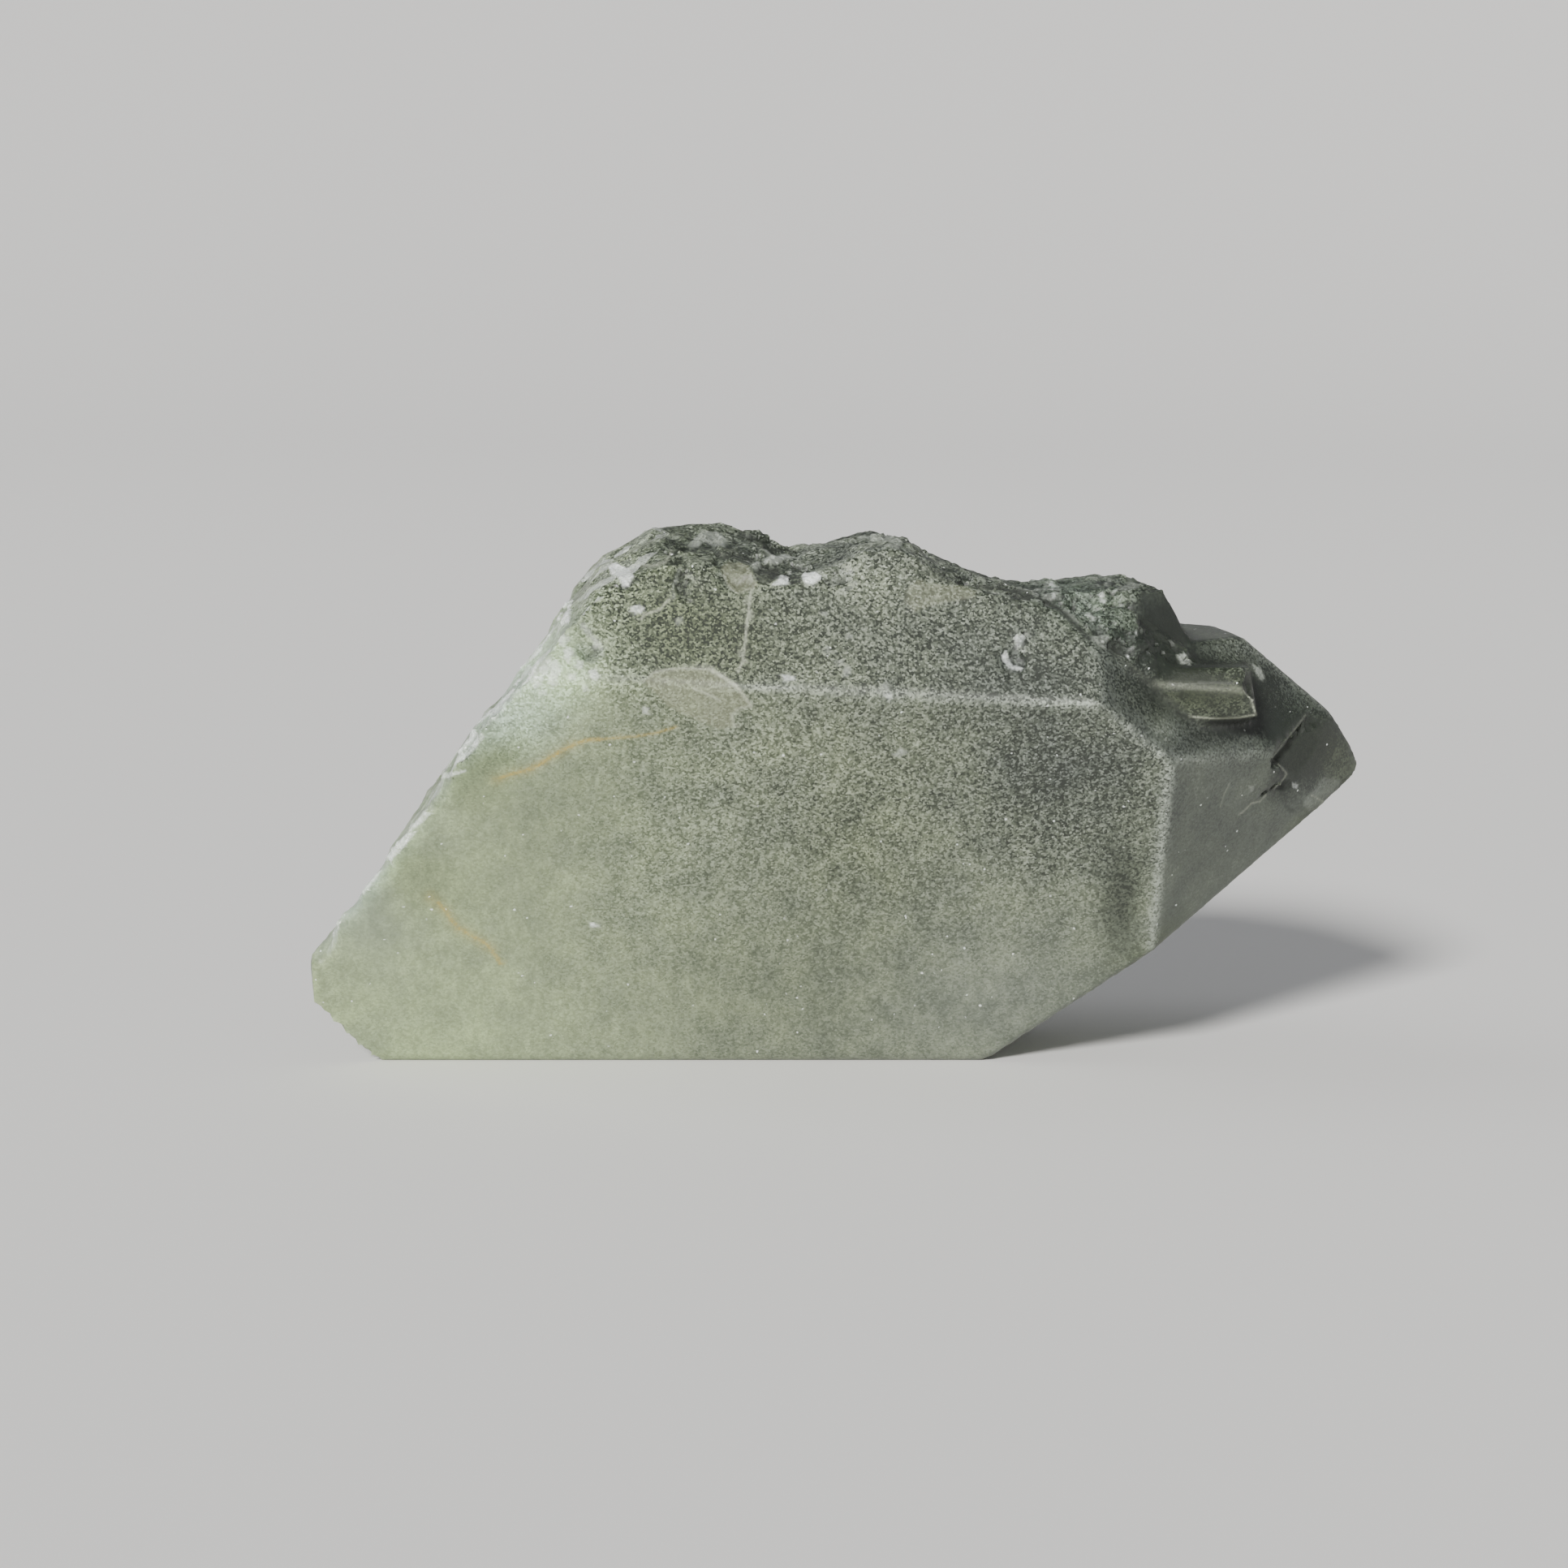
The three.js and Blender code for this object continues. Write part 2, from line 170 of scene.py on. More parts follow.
def addLights():
    world = bpy.data.worlds.new("paleRoom")
    world.use_nodes = True
    air = world.node_tree.nodes["Background"]
    air.inputs["Color"].default_value = (*studio["air"], 1)
    air.inputs["Strength"].default_value = studio["airStrength"]
    bpy.context.scene.world = world
    for sun in studio["suns"]:
        data = bpy.data.lights.new(sun["name"], "SUN")
        data.angle = math.radians(sun["wide"])
        data.energy = sun["power"]
        data.color = sun["colour"]
        light = bpy.data.objects.new(sun["name"], data)
        bpy.context.scene.collection.objects.link(light)
        towards = Vector(direction(sun["turn"], sun["lift"]))
        light.rotation_euler = towards.to_track_quat("Z", "Y").to_euler()


# pale paper, level under the crystal and sweeping gently up far away on every side
def addPaper():
    reach, flat = studio["paperReach"], studio["paperFlat"]
    cells = studio["paperCells"]
    bm = bmesh.new()
    bmesh.ops.create_grid(bm, x_segments=cells, y_segments=cells, size=reach)
    for v in bm.verts:
        share = max(0, math.hypot(v.co.x, v.co.y) - flat) / (reach - flat)
        v.co.z = studio["paperRise"] * share * share - studio["paperDrop"] * mm
    mesh = bpy.data.meshes.new("paper")
    bm.to_mesh(mesh)
    bm.free()
    mesh.polygons.foreach_set("use_smooth", [True] * len(mesh.polygons))
    paper = bpy.data.objects.new("paper", mesh)
    bpy.context.scene.collection.objects.link(paper)
    material = bpy.data.materials.new("palePaper")
    material.use_nodes = True
    tree = material.node_tree
    shader = tree.nodes["Principled BSDF"]
    place = addSocket(tree, "ShaderNodeTexCoord", {}, output="Object")
    away = addSocket(tree, "ShaderNodeVectorMath", {0: place}, {"operation": "LENGTH"}, "Value")
    colour = blendColour(tree, spread(tree, away, studio["darkerFrom"], reach),
                         (*studio["paperColour"], 1), (*studio["farColour"], 1))
    tree.links.new(colour, shader.inputs["Base Color"])
    shader.inputs["Roughness"].default_value = studio["paperRoughness"]
    mesh.materials.append(material)


addCamera()
addLights()
addPaper()
print("stage: camera and studio")


# the crystal: its shape

crystal = {
    "node": "quartz_crystal",
    # the solid's level patches
    "flatSeed": 0.2,  # mm2, no patch is grown from a smaller triangle
    "flatArea": 3.0,  # mm2, a level patch larger than this is a grown face, not a break
    "flatTurn": 0.35,  # degrees that two triangles of one face may differ
    "flatGap": 0.02,  # mm that they may lie apart
    "faceTurn": 1.5,  # degrees that a grown face may be off the way it should look
    # the mesh
    "mergeGap": 0.002,  # mm
    "meshLength": 0.39,  # mm
    "topFrom": 25.0,  # mm, the broken stone above this gets a finer mesh
    "shapeReach": 0.12,  # mm outside a drawn shape that still gets a finer mesh
    "outlineReach": 0.06,  # mm on both sides of a line or a glassy outline, for the finest mesh
    "sharpTurn": 38,  # degrees, edges that turn more stay sharp
    # what is softened, and in how many passes
    "softening": 0.5,  # how far a pass moves each point to the middle of its neighbours
    "roughPasses": 4,
    "edgeReach": 0.3,  # mm from a crystal edge
    "edgePasses": 4,
    "root": (16.9, 24.3),  # where the small tip's ledge grows out of the stone, in x and height
    "rootReach": 0.9,
    "rootShare": 0.3,
    "rootPasses": 10,
    # the broken stone
    "endLooks": (176, 30),  # turn and lift of the glassy broken end
    "endFacing": (0.35, 0.75),  # how squarely stone looks that way as it turns glassy
    "breakPasses": 3,  # how far the relief fades towards the grown faces
    "breakStep": (0.15, 0.95),
    # how strongly the relief's hollows take painted shade and its ridges painted light,
    "reliefShadeShare": 3,  # per mm of relief
    # the drawn shapes and lines
    "sheetAt": -15.0,  # mm in Y: the upright sheet, met from the camera, that they are drawn on
    "drawnFacing": 0.03,  # how squarely stone must face the camera to take them
    "drawnFacingEnd": 0.15,  # and on the broken end, which is met nearly edge on
    "drawnEnd": 0.5,
    "outlineSoft": 0.06,  # mm on both sides over which a shape fades
    "lineReach": 2.5,  # widths from a line's middle to where it has faded out
    "wornWide": 0.23,  # mm
}
endWay = direction(*crystal["endLooks"])

# each grown face: where it looks (turn about Z from +X, lift above level, in degrees), and how
# pale, how olive and how speckled its stone is. The front is paler partly as painted light from
# the floor and through the stone, and the faces near the point that turn from the light, above all
# pointTop and tip, are darker partly as painted shade
grownFaces = {
    # the front is paler partly as painted light, bounced from the floor and come through the stone
    "front": (-90, -27.35, 0.28, 0.6, 0.7),
    "upper": (-87.1, 32.65, 0.185, 0.6, 0.84),
    "backUpper": (90, 27.35, 0.31, 0.5, 0.6),
    "backLower": (90, -32.65, 0.35, 0.5, 0.4),
    "foot": (0, -90, 0.36, 0.5, 0.3),
    "pointLower": (-48.5, -21.2, 0.19, 0.25, 0.12),
    "pointUpper": (-47.6, 25.1, 0.185, 0.1, 0.14),
    # pointTop and tip are darker partly as painted shade, as they turn from the light
    "pointTop": (3.4, 51.8, 0.14, 0.2, 0.3),
    "pointBackUpper": (48.5, 21.2, 0.30, 0.3, 0.3),
    "pointBackLower": (47, -25.1, 0.33, 0.4, 0.3),
    "pointUnder": (-2, -52.9, 0.33, 0.5, 0.3),
    "tip": (0, 35.5, 0.08, 0.7, 0.4),
}
brokenLook = (0.19, 0.35, 0.65)

# how white each edge between two grown faces is worn
wornEdges = {
    ("front", "upper"): 0.85,
    ("front", "pointUpper"): 1.0,
    ("front", "pointLower"): 0.9,
    ("pointLower", "pointUpper"): 0.3,
    ("upper", "pointUpper"): 0.2,
    ("backUpper", "backLower"): 0.6,
    ("backUpper", "pointBackUpper"): 0.6,
    ("pointUpper", "pointTop"): 0.45,
    ("pointTop", "pointBackUpper"): 0.5,
    ("pointBackUpper", "pointBackLower"): 0.4,
}


# the level patches of the solid: which triangles lie on one, and each patch's own plane
def levelPatches(mesh):
    count = len(mesh.polygons)
    normals = np.zeros(count * 3)
    centres = np.zeros(count * 3)
    areas = np.zeros(count)
    mesh.polygons.foreach_get("normal", normals)
    mesh.polygons.foreach_get("center", centres)
    mesh.polygons.foreach_get("area", areas)
    normals = normals.reshape(-1, 3)
    out = (centres.reshape(-1, 3) / mm * normals).sum(1)
    areas = areas / mm / mm
    onLevel = np.zeros(count, bool)
    done = np.zeros(count, bool)
    patches = []
    alike = math.cos(math.radians(crystal["flatTurn"]))
    for k in np.argsort(-areas):
        if areas[k] < crystal["flatSeed"]:
            break
        if done[k]:
            continue
        same = ~done & (normals @ normals[k] > alike)
        same &= np.abs(out - out[k]) < crystal["flatGap"]
        done |= same
        if areas[same].sum() > crystal["flatArea"]:
            onLevel |= same
            patches.append((normals[k], out[k]))
    return onLevel, patches


# the planes of the grown faces, the outermost patch that looks each way
def grownPlanes(patches):
    alike = math.cos(math.radians(crystal["faceTurn"]))
    planes = {}
    for name, (turn, lift, *look) in grownFaces.items():
        near = [p for p in patches if p[0] @ direction(turn, lift) > alike]
        if near:
            planes[name] = max(near, key=lambda p: p[1])
    return planes


# the flakes, chips, hollows and veins on the side that looks at the camera, many of the dark ones
# painted shade and shadow and many of the glassy ones painted glints: what each is made of or
# painted as, how strong it shows, how far it stands out in mm, and its outline in x and height
shapes = [
    ("glassAndGlint", 1, 0.1, [(-14.53, 30.54), (-14.09, 30.81), (-13.64, 30.54), (-13.29, 30.4),
        (-13.09, 30.01), (-13.37, 29.57), (-13.69, 29.51), (-13.99, 29.92), (-14.35, 30.15)]),
    ("glassAndGlint", 0.9, 0.15, [(-17.47, 27.67), (-16.73, 28.66), (-16.42, 28.75), (-16.52, 28.12),
        (-16.73, 27.41), (-17.26, 27.23)]),
    ("milk", 0.9, 0.05, [(-15.95, 30.03), (-15.24, 30.39), (-14.97, 30), (-15.59, 29.73)]),
    ("milk", 0.8, -0.04, [(-16.2, 27.36), (-15.93, 27.41), (-15.3, 26.53), (-14.91, 26.12),
        (-15.16, 26.08), (-15.78, 26.76)]),
    ("glassAndGlint", 0.6, 0.05, [(-13.27, 28.32), (-12.74, 28.41), (-12.44, 28.24), (-12.65, 27.92),
        (-13.09, 28.02)]),
    ("glassAndGlint", 0.95, 0.1, [(-3.51, 30.07), (-3.32, 30.3), (-2.68, 30.3), (-2.38, 30.12),
        (-2.49, 29.89), (-2.95, 29.64), (-3.32, 29.74)]),
    ("glassAndGlint", 0.75, 0.06, [(-4.76, 30.11), (-4.62, 30.25), (-4.25, 30.11), (-4.29, 29.63),
        (-5.12, 29.59), (-5.17, 29.69), (-4.89, 29.83)]),
    # these two: hollows pressed into the top, with painted shade in them
    ("darkAndShade", 0.9, -0.12, [(-4.23, 30.11), (-3.88, 30.3), (-3.6, 30.11), (-3.5, 29.84),
        (-3.32, 29.65), (-3.87, 29.67), (-4.2, 29.6)]),
    ("darkAndShade", 0.85, -0.12, [(-6.2, 30.37), (-5.83, 30.75), (-4.77, 30.8), (-4.67, 30.38),
        (-4.9, 30.1), (-5.17, 29.82), (-5.54, 29.64), (-6.01, 29.77), (-6.24, 30.1)]),
    ("milk", 0.9, 0.06, [(-6.39, 30.74), (-6.02, 30.91), (-5.88, 30.7), (-5.97, 30.47),
        (-6.29, 30.48)]),
    ("milk", 1, 0.08, [(-5.74, 30.98), (-5.1, 31.31), (-4.54, 31.51), (-3.94, 31.48),
        (-4.12, 31.22), (-4.54, 31.08), (-5, 30.84), (-5.55, 30.79)]),
    ("milk", 0.8, 0.05, [(-5.8, 31.72), (-5.47, 31.63), (-5.14, 31.35), (-5.23, 31.21),
        (-5.61, 31.41)]),
    ("milk", 0.6, 0.08, [(-9.96, 32.1), (-9.45, 32.43), (-8.9, 32.76), (-8.35, 32.72),
        (-8.11, 32.44), (-7.83, 32.07), (-8.02, 31.79), (-8.34, 31.84), (-8.62, 32.07),
        (-9.08, 32.16), (-9.82, 31.87)]),
    ("darkAndShade", 0.55, -0.06, [(-8.66, 31.56), (-8.34, 31.7), (-7.6, 31.75), (-6.77, 31.57),
        (-6.44, 31.3), (-5.84, 31.16), (-5.93, 30.93), (-6.48, 30.79), (-7.41, 31.01),
        (-8.1, 31.19)]),
    ("darkAndShade", 0.45, -0.02, [(-7.24, 32.82), (-6.5, 32.73), (-5.85, 32.36), (-5.2, 31.86),
        (-5.38, 31.77), (-5.94, 31.95), (-6.68, 32.22), (-7.05, 32.49)]),
    ("darkAndShade", 0.5, -0.05, [(-10.58, 29.51), (-10.33, 30.39), (-10.17, 30.3), (-10.08, 29.7),
        (-9.93, 29.14), (-9.97, 28.77), (-10.48, 28.77)]),
    ("milk", 0.3, 0.04, [(-10.95, 28.77), (-10.91, 29.51), (-10.54, 30.53), (-10.36, 30.58),
        (-10.49, 29.88), (-10.67, 29.33), (-10.7, 28.77)]),
    ("darkAndShade", 0.5, -0.03, [(-7.64, 30.87), (-7.36, 30.92), (-7.08, 30.65), (-7.22, 30.51),
        (-7.5, 30.6)]),
    ("flake", 0.9, 0.05, [(-8.14, 30.5), (-7.96, 30.82), (-7.59, 30.92), (-6.85, 30.79),
        (-6.38, 30.37), (-6, 29.63), (-6.14, 29.4), (-7.2, 29.12), (-7.67, 29.53), (-7.81, 29.9)]),
    ("darkAndShade", 0.55, -0.06, [(-2.02, 29.94), (-1.47, 29.99), (-0.82, 29.95), (-0.81, 29.81),
        (-1.46, 29.71), (-1.93, 29.77)]),
    ("milk", 0.35, 0.03, [(-0.77, 29.95), (-0.4, 29.86), (-0.3, 29.63), (-0.71, 29.34),
        (-1.27, 29.31), (-1.37, 29.43), (-0.72, 29.58)]),
    ("milk", 0.45, 0.04, [(-3.34, 31.69), (-3.29, 31.55), (-3.48, 31.27), (-3.89, 31.22),
        (-3.99, 31.31)]),
    ("milk", 0.5, 0.05, [(-0.34, 32.27), (-0.02, 32.55), (0.35, 32.69), (0.73, 32.66),
        (0.73, 32.27), (0.17, 32.34)]),
    ("milk", 0.45, 0.05, [(0.63, 32.69), (1.66, 32.47), (2.22, 32.1), (1.95, 31.63), (0.97, 31.91),
        (0.27, 32.27)]),
    ("flake", 1, -0.03, [(-12.44, 24.04), (-11.91, 24.58), (-10.31, 24.82), (-8.53, 24.78),
        (-7.81, 24.34), (-7.09, 23.8), (-6.55, 23.09), (-6.28, 22.64), (-6.99, 22.51),
        (-7.43, 22.1), (-7.25, 21.47), (-8.14, 21.29), (-9.57, 21.91), (-11, 22.53),
        (-11.72, 23.24)]),
    ("flake", 0.6, 0.04, [(2.51, 29.4), (3.09, 29.98), (3.79, 29.76), (4.6, 29.65), (5.65, 29.6),
        (6.53, 29.31), (6.36, 28.96), (5.43, 28.78), (4.62, 28.66), (3.69, 28.42), (2.88, 28.12),
        (2.47, 28.65)]),
    ("darkAndShade", 0.5, -0.06, [(3.19, 30.74), (4.24, 30.63), (5.24, 30.12), (5.42, 29.71),
        (4.84, 29.73), (4.02, 30.05), (3.37, 30.33)]),
    ("milk", 0.55, 0.06, [(8.86, 29.48), (9.32, 29.68), (9.96, 29.79), (10.22, 29.49),
        (10.09, 29.16), (9.62, 29.25), (9.06, 29.3)]),
    ("milk", 0.4, 0.05, [(10.15, 29.74), (10.66, 29.88), (11.31, 29.63), (11.4, 28.88),
        (10.68, 28.93), (10.27, 29.09), (10.34, 29.42)]),
    ("glassAndGlint", 0.4, 0.03, [(10.66, 29.74), (10.85, 29.79), (11.07, 29.05), (10.91, 29)]),
    ("milk", 0.45, 0.05, [(11.39, 28.38), (11.92, 28.26), (12.48, 27.52), (12.28, 27.43),
        (11.69, 27.98)]),
    ("milk", 0.4, 0.04, [(12.68, 28.07), (13.03, 28.19), (13.45, 27.78), (13.16, 27.61)]),
    ("milk", 0.45, 0.08, [(13.06, 26.73), (13.64, 26.93), (14.23, 26.74), (14.15, 26.01),
        (13.65, 26.21)]),
    ("glassAndGlint", 0.5, 0.03, [(13.48, 29.16), (13.73, 29.35), (13.92, 29.07), (13.64, 29)]),
    ("glassAndGlint", 0.45, 0.03, [(13.6, 28.93), (14, 28.86), (13.91, 28.67), (13.67, 28.74)]),
    ("glassAndGlint", 0.35, 0.03, [(12.91, 28.08), (13.34, 27.9), (13.25, 27.74), (12.94, 27.87)]),
    ("glassAndGlint", 0.4, 0.02, [(15.25, 25.81), (15.49, 25.69), (15.38, 25.55)]),
    ("glassAndGlint", 0.35, 0.02, [(14.38, 29.51), (14.64, 29.56), (14.55, 29.37)]),
    ("glassAndGlint", 0.3, 0.02, [(14.63, 28.72), (14.96, 28.61), (14.82, 28.47)]),
    ("glassAndGlint", 0.3, 0.02, [(15.63, 27.1), (15.89, 26.98), (15.72, 26.84)]),
    ("milk", 0.35, 0.05, [(12.87, 30.17), (13.8, 30.31), (14.27, 30.18), (14.16, 29.83),
        (13.46, 29.76), (12.99, 29.93)]),
    ("milk", 0.35, 0.04, [(14.63, 29.71), (15.45, 30.01), (16.27, 29.9), (15.69, 29.55),
        (14.87, 29.42)]),
    # a hole pressed in, with painted shade in it
    ("darkAndShade", 0.9, -0.15, [(14.23, 26.5), (14.75, 26.74), (15.17, 26.34), (14.89, 25.87),
        (14.78, 25.48), (14.24, 25.9)]),
    # these two: painted shade on the smooth face of the upper stone that turns from the light
    ("darkAndShade", 0.45, -0.03, [(15.25, 28.26), (15.82, 29.08), (16.39, 29.67), (17.09, 29.55),
        (17.7, 28.86), (18.31, 27.7), (18.74, 26.53), (17.87, 26.29), (17.16, 26.76),
        (16.2, 27.45)]),
    ("darkAndShade", 0.45, -0.05, [(17.63, 26.52), (18.68, 26.65), (18.81, 26.24), (18.11, 25.83),
        (17.76, 26.06)]),
    ("darkAndShade", 0.35, -0.02, [(12.46, 27.43), (13.16, 27.55), (14.22, 27.09), (13.64, 26.97),
        (13.06, 26.79)]),
    ("glassAndGlint", 0.62, 0.05, [(8.03, 25.65), (8.26, 25.94), (8.43, 25.54), (8.69, 25.13),
        (9.25, 24.98), (9, 24.82), (8.39, 24.88)]),
    ("darkAndShade", 0.6, -0.03, [(8.18, 24.89), (9, 24.78), (9.14, 24.86), (9.06, 24.55), (8.54, 24.58)]),
    ("glassAndGlint", 0.45, 0.03, [(8.74, 26.57), (8.82, 26.82), (9.04, 26.65), (9.22, 26.83),
        (9.34, 26.62), (9.18, 26.36), (8.88, 26.38)]),
    ("milk", 0.95, 0.08, [(18.12, 25.71), (18.64, 25.85), (18.94, 25.54), (18.84, 25.1),
        (18.48, 25.36), (18.24, 25.53)]),
    ("milk", 0.7, 0.03, [(22.43, 25.22), (22.98, 25.01), (23.25, 24.41), (23, 24.29),
        (22.75, 24.68)]),
    # these three dark ones: painted shadow beside the step near the point
    ("darkAndShade", 0.4, -0.05, [(23.91, 19.77), (24.93, 20.81), (25.71, 21.77), (26.09, 21.63),
        (26.39, 20.81), (25.87, 19.72), (25.2, 19), (24.8, 19.09), (24.28, 19.45)]),
    ("darkAndShade", 1, -0.06, [(25.6, 22.02), (25.48, 21.13), (24.75, 20.18), (24.1, 19.52),
        (23.81, 19.75), (24.55, 20.6), (25.14, 21.45)]),
    ("darkAndShade", 0.6, -0.03, [(24.01, 17.99), (24.59, 18.58), (25.09, 18.36), (25, 18.09),
        (24.43, 17.9)]),
    ("milk", 0.2, 0.02, [(26.81, 18.69), (27.81, 18.55), (27.56, 17.73), (26.85, 16.91),
        (26.04, 16.73), (25.57, 17.18), (26.1, 17.82)]),
    ("darkAndShade", 0.4, 0, [(24.48, 17.09), (25.03, 16.94), (25.31, 16.64), (24.86, 16.63)]),
    ("milk", 0.5, 0.02, [(22.49, 18.17), (22.75, 18.17), (22.72, 17.9), (22.5, 17.9)]),
    ("glassAndGlint", 0.35, 0.02, [(25, 18.36), (25.33, 18.25), (25.28, 18.04), (25.06, 18.07)]),
    ("darkAndShade", 0.55, -0.05, [(-15.74, 25.72), (-15.33, 25.99), (-14.98, 25.69), (-15.15, 25.15),
        (-15.51, 24.97), (-15.79, 25.28)]),
    ("glassAndGlint", 0.5, 0.03, [(-4.63, 24.5), (-3.88, 24.39), (-3.77, 24.18), (-4.42, 24.09)]),
    ("milk", 0.55, 0.02, [(-2.2, 25.89), (-1.94, 26.16), (-1.76, 25.8), (-2.02, 25.62)]),
    ("milk", 0.5, 0.02, [(-1.43, 25.27), (-1.11, 25.36), (-1.1, 25.09), (-1.35, 25)]),
    ("milk", 0.6, 0.02, [(-1.06, 24.82), (-0.76, 25), (-0.63, 24.64), (-0.84, 24.34),
        (-1.06, 24.52)]),
    ("milk", 0.65, 0.03, [(1.17, 23.94), (1.49, 24.12), (1.64, 23.76), (1.32, 23.56)]),
    ("glassAndGlint", 0.4, 0.03, [(1.32, 23.31), (1.68, 23.45), (1.79, 23.22), (1.5, 23.08)]),
    ("milk", 0.5, 0.02, [(-0.96, 26.84), (-0.52, 26.79), (-0.55, 26.53), (-0.87, 26.61)]),
    ("milk", 0.5, 0.02, [(-2.28, 28.12), (-1.96, 28.09), (-2.05, 27.86), (-2.28, 27.91)]),
    ("milk", 0.5, 0.03, [(-10.69, 27.63), (-10.25, 27.81), (-10.42, 27.27), (-10.69, 27.32)]),
    ("glassAndGlint", 0.4, 0.03, [(-12.52, 22.61), (-12.16, 22.52), (-12.25, 22.16), (-12.52, 22.25)]),
    ("milk", 0.8, 0.02, [(1.78, 19.89), (2.3, 20.25), (2.71, 20.07), (2.19, 19.78)]),
    ("glassAndGlint", 0.9, 0.02, [(-15.43, 10.1), (-15.18, 10.13), (-15.14, 9.9), (-15.4, 9.85)]),
    ("glassAndGlint", 0.8, 0.1, [(-17.9, 26.78), (-17.44, 26.5), (-18.26, 25.29), (-18.86, 24.18),
        (-19.55, 23.71), (-20.01, 23.89), (-19.18, 24.92)]),
    ("milk", 0.55, 0.05, [(-20.06, 23.85), (-19.55, 23.52), (-20.65, 22.12), (-21.75, 21.19),
        (-22.77, 20.63), (-22.95, 20.95), (-21.85, 21.89)]),
    ("glassAndGlint", 0.7, 0.08, [(-22.77, 21), (-21.84, 21.19), (-22.76, 19.97), (-23.87, 18.94),
        (-24.01, 19.13), (-23.5, 20.06)]),
    ("glassAndGlint", 0.35, 0.05, [(-21.75, 21.05), (-21.47, 20.82), (-22.58, 19.6), (-23.41, 19.13),
        (-22.86, 19.79)]),
    ("milk", 0.5, 0.05, [(-24.1, 19.04), (-23.59, 18.85), (-24.24, 17.54), (-24.88, 16.42),
        (-25.16, 16.33), (-24.51, 17.64)]),
    ("glassAndGlint", 0.65, 0.07, [(-24.88, 16.51), (-24.51, 16.42), (-25.16, 15.77), (-25.89, 15.2),
        (-25.43, 15.86)]),
    ("glassAndGlint", 0.7, 0.07, [(-27, 14.36), (-25.99, 15.2), (-25.34, 15.39), (-26.17, 14.36),
        (-26.82, 13.7), (-27.19, 13.8)]),
    ("milk", 0.45, 0.05, [(-27.37, 13.61), (-26.82, 13.61), (-27.46, 12.77), (-28.2, 12.01),
        (-28.39, 12.3)]),
    ("glassAndGlint", 0.6, 0.07, [(-29.03, 11.54), (-27.83, 12.86), (-27.28, 13.14), (-28.02, 12.11),
        (-28.76, 11.36)]),
    ("milk", 0.45, 0.05, [(-29.22, 11.26), (-28.85, 11.17), (-29.49, 10.14), (-30.05, 9.57),
        (-30.14, 9.85)]),
    ("glassAndGlint", 0.45, 0.05, [(-30.14, 9.85), (-29.68, 10.14), (-29.77, 9.76), (-30.14, 9.29)]),
    ("glassAndGlint", 0.5, 0.02, [(-18.38, 24.78), (-18.1, 24.96), (-17.81, 24.75), (-17.92, 24.42),
        (-18.24, 24.32)]),
    ("glassAndGlint", 0.45, 0.02, [(-17.43, 26.75), (-17.12, 26.96), (-16.9, 26.5), (-17, 25.96),
        (-17.29, 26.14)]),
    ("glassAndGlint", 0.55, 0.02, [(-17.07, 25.79), (-16.61, 25.97), (-16.54, 25.54), (-16.89, 25.36)]),
    ("glassAndGlint", 0.5, 0.02, [(-16.25, 25.26), (-15.9, 25.15), (-15.97, 24.79), (-16.22, 24.72)]),
    ("glassAndGlint", 0.6, 0.02, [(-15.61, 24.65), (-15.22, 24.73), (-14.97, 24.33), (-15.18, 24.05),
        (-15.47, 24.22)]),
    ("glassAndGlint", 0.45, 0.02, [(-16.75, 24.5), (-16.28, 24.43), (-16.35, 24.11), (-16.67, 24.04)]),
    ("glassAndGlint", 0.4, 0.02, [(-17.85, 24.03), (-17.42, 24.14), (-17.35, 23.82), (-17.74, 23.68)]),
    ("glassAndGlint", 0.4, 0.02, [(-19.12, 24.24), (-18.7, 24.35), (-18.48, 24.06), (-18.84, 23.85)]),
    ("glassAndGlint", 0.35, 0.02, [(-16, 23.76), (-15.71, 23.87), (-15.6, 23.51), (-15.89, 23.4)]),
    ("glassAndGlint", 0.35, 0.02, [(-18.48, 23.46), (-18.06, 23.57), (-17.98, 23.28), (-18.34, 23.17)]),
    ("glassAndGlint", 0.5, 0.03, [(-24.15, 18.62), (-22.61, 18.93), (-22.53, 18.83), (-23.84, 18.39)]),
    ("milk", 0.8, 0.05, [(-19.55, 24.81), (-18.49, 25.53), (-17.6, 25.44), (-18.31, 24.55),
        (-19.37, 23.92)]),
    ("glassAndGlint", 0.5, 0.03, [(-18.05, 25.17), (-17.43, 25.27), (-17.16, 24.64), (-17.6, 23.75),
        (-17.95, 23.92), (-17.78, 24.55)]),
    ("glassAndGlint", 0.45, 0.03, [(-16.9, 26.07), (-16.51, 25.75), (-16.71, 25), (-17.07, 25.36)]),
    ("glassAndGlint", 0.45, 0.03, [(-18.66, 24.28), (-18.13, 24.37), (-18.31, 23.74), (-18.75, 23.56)]),
]
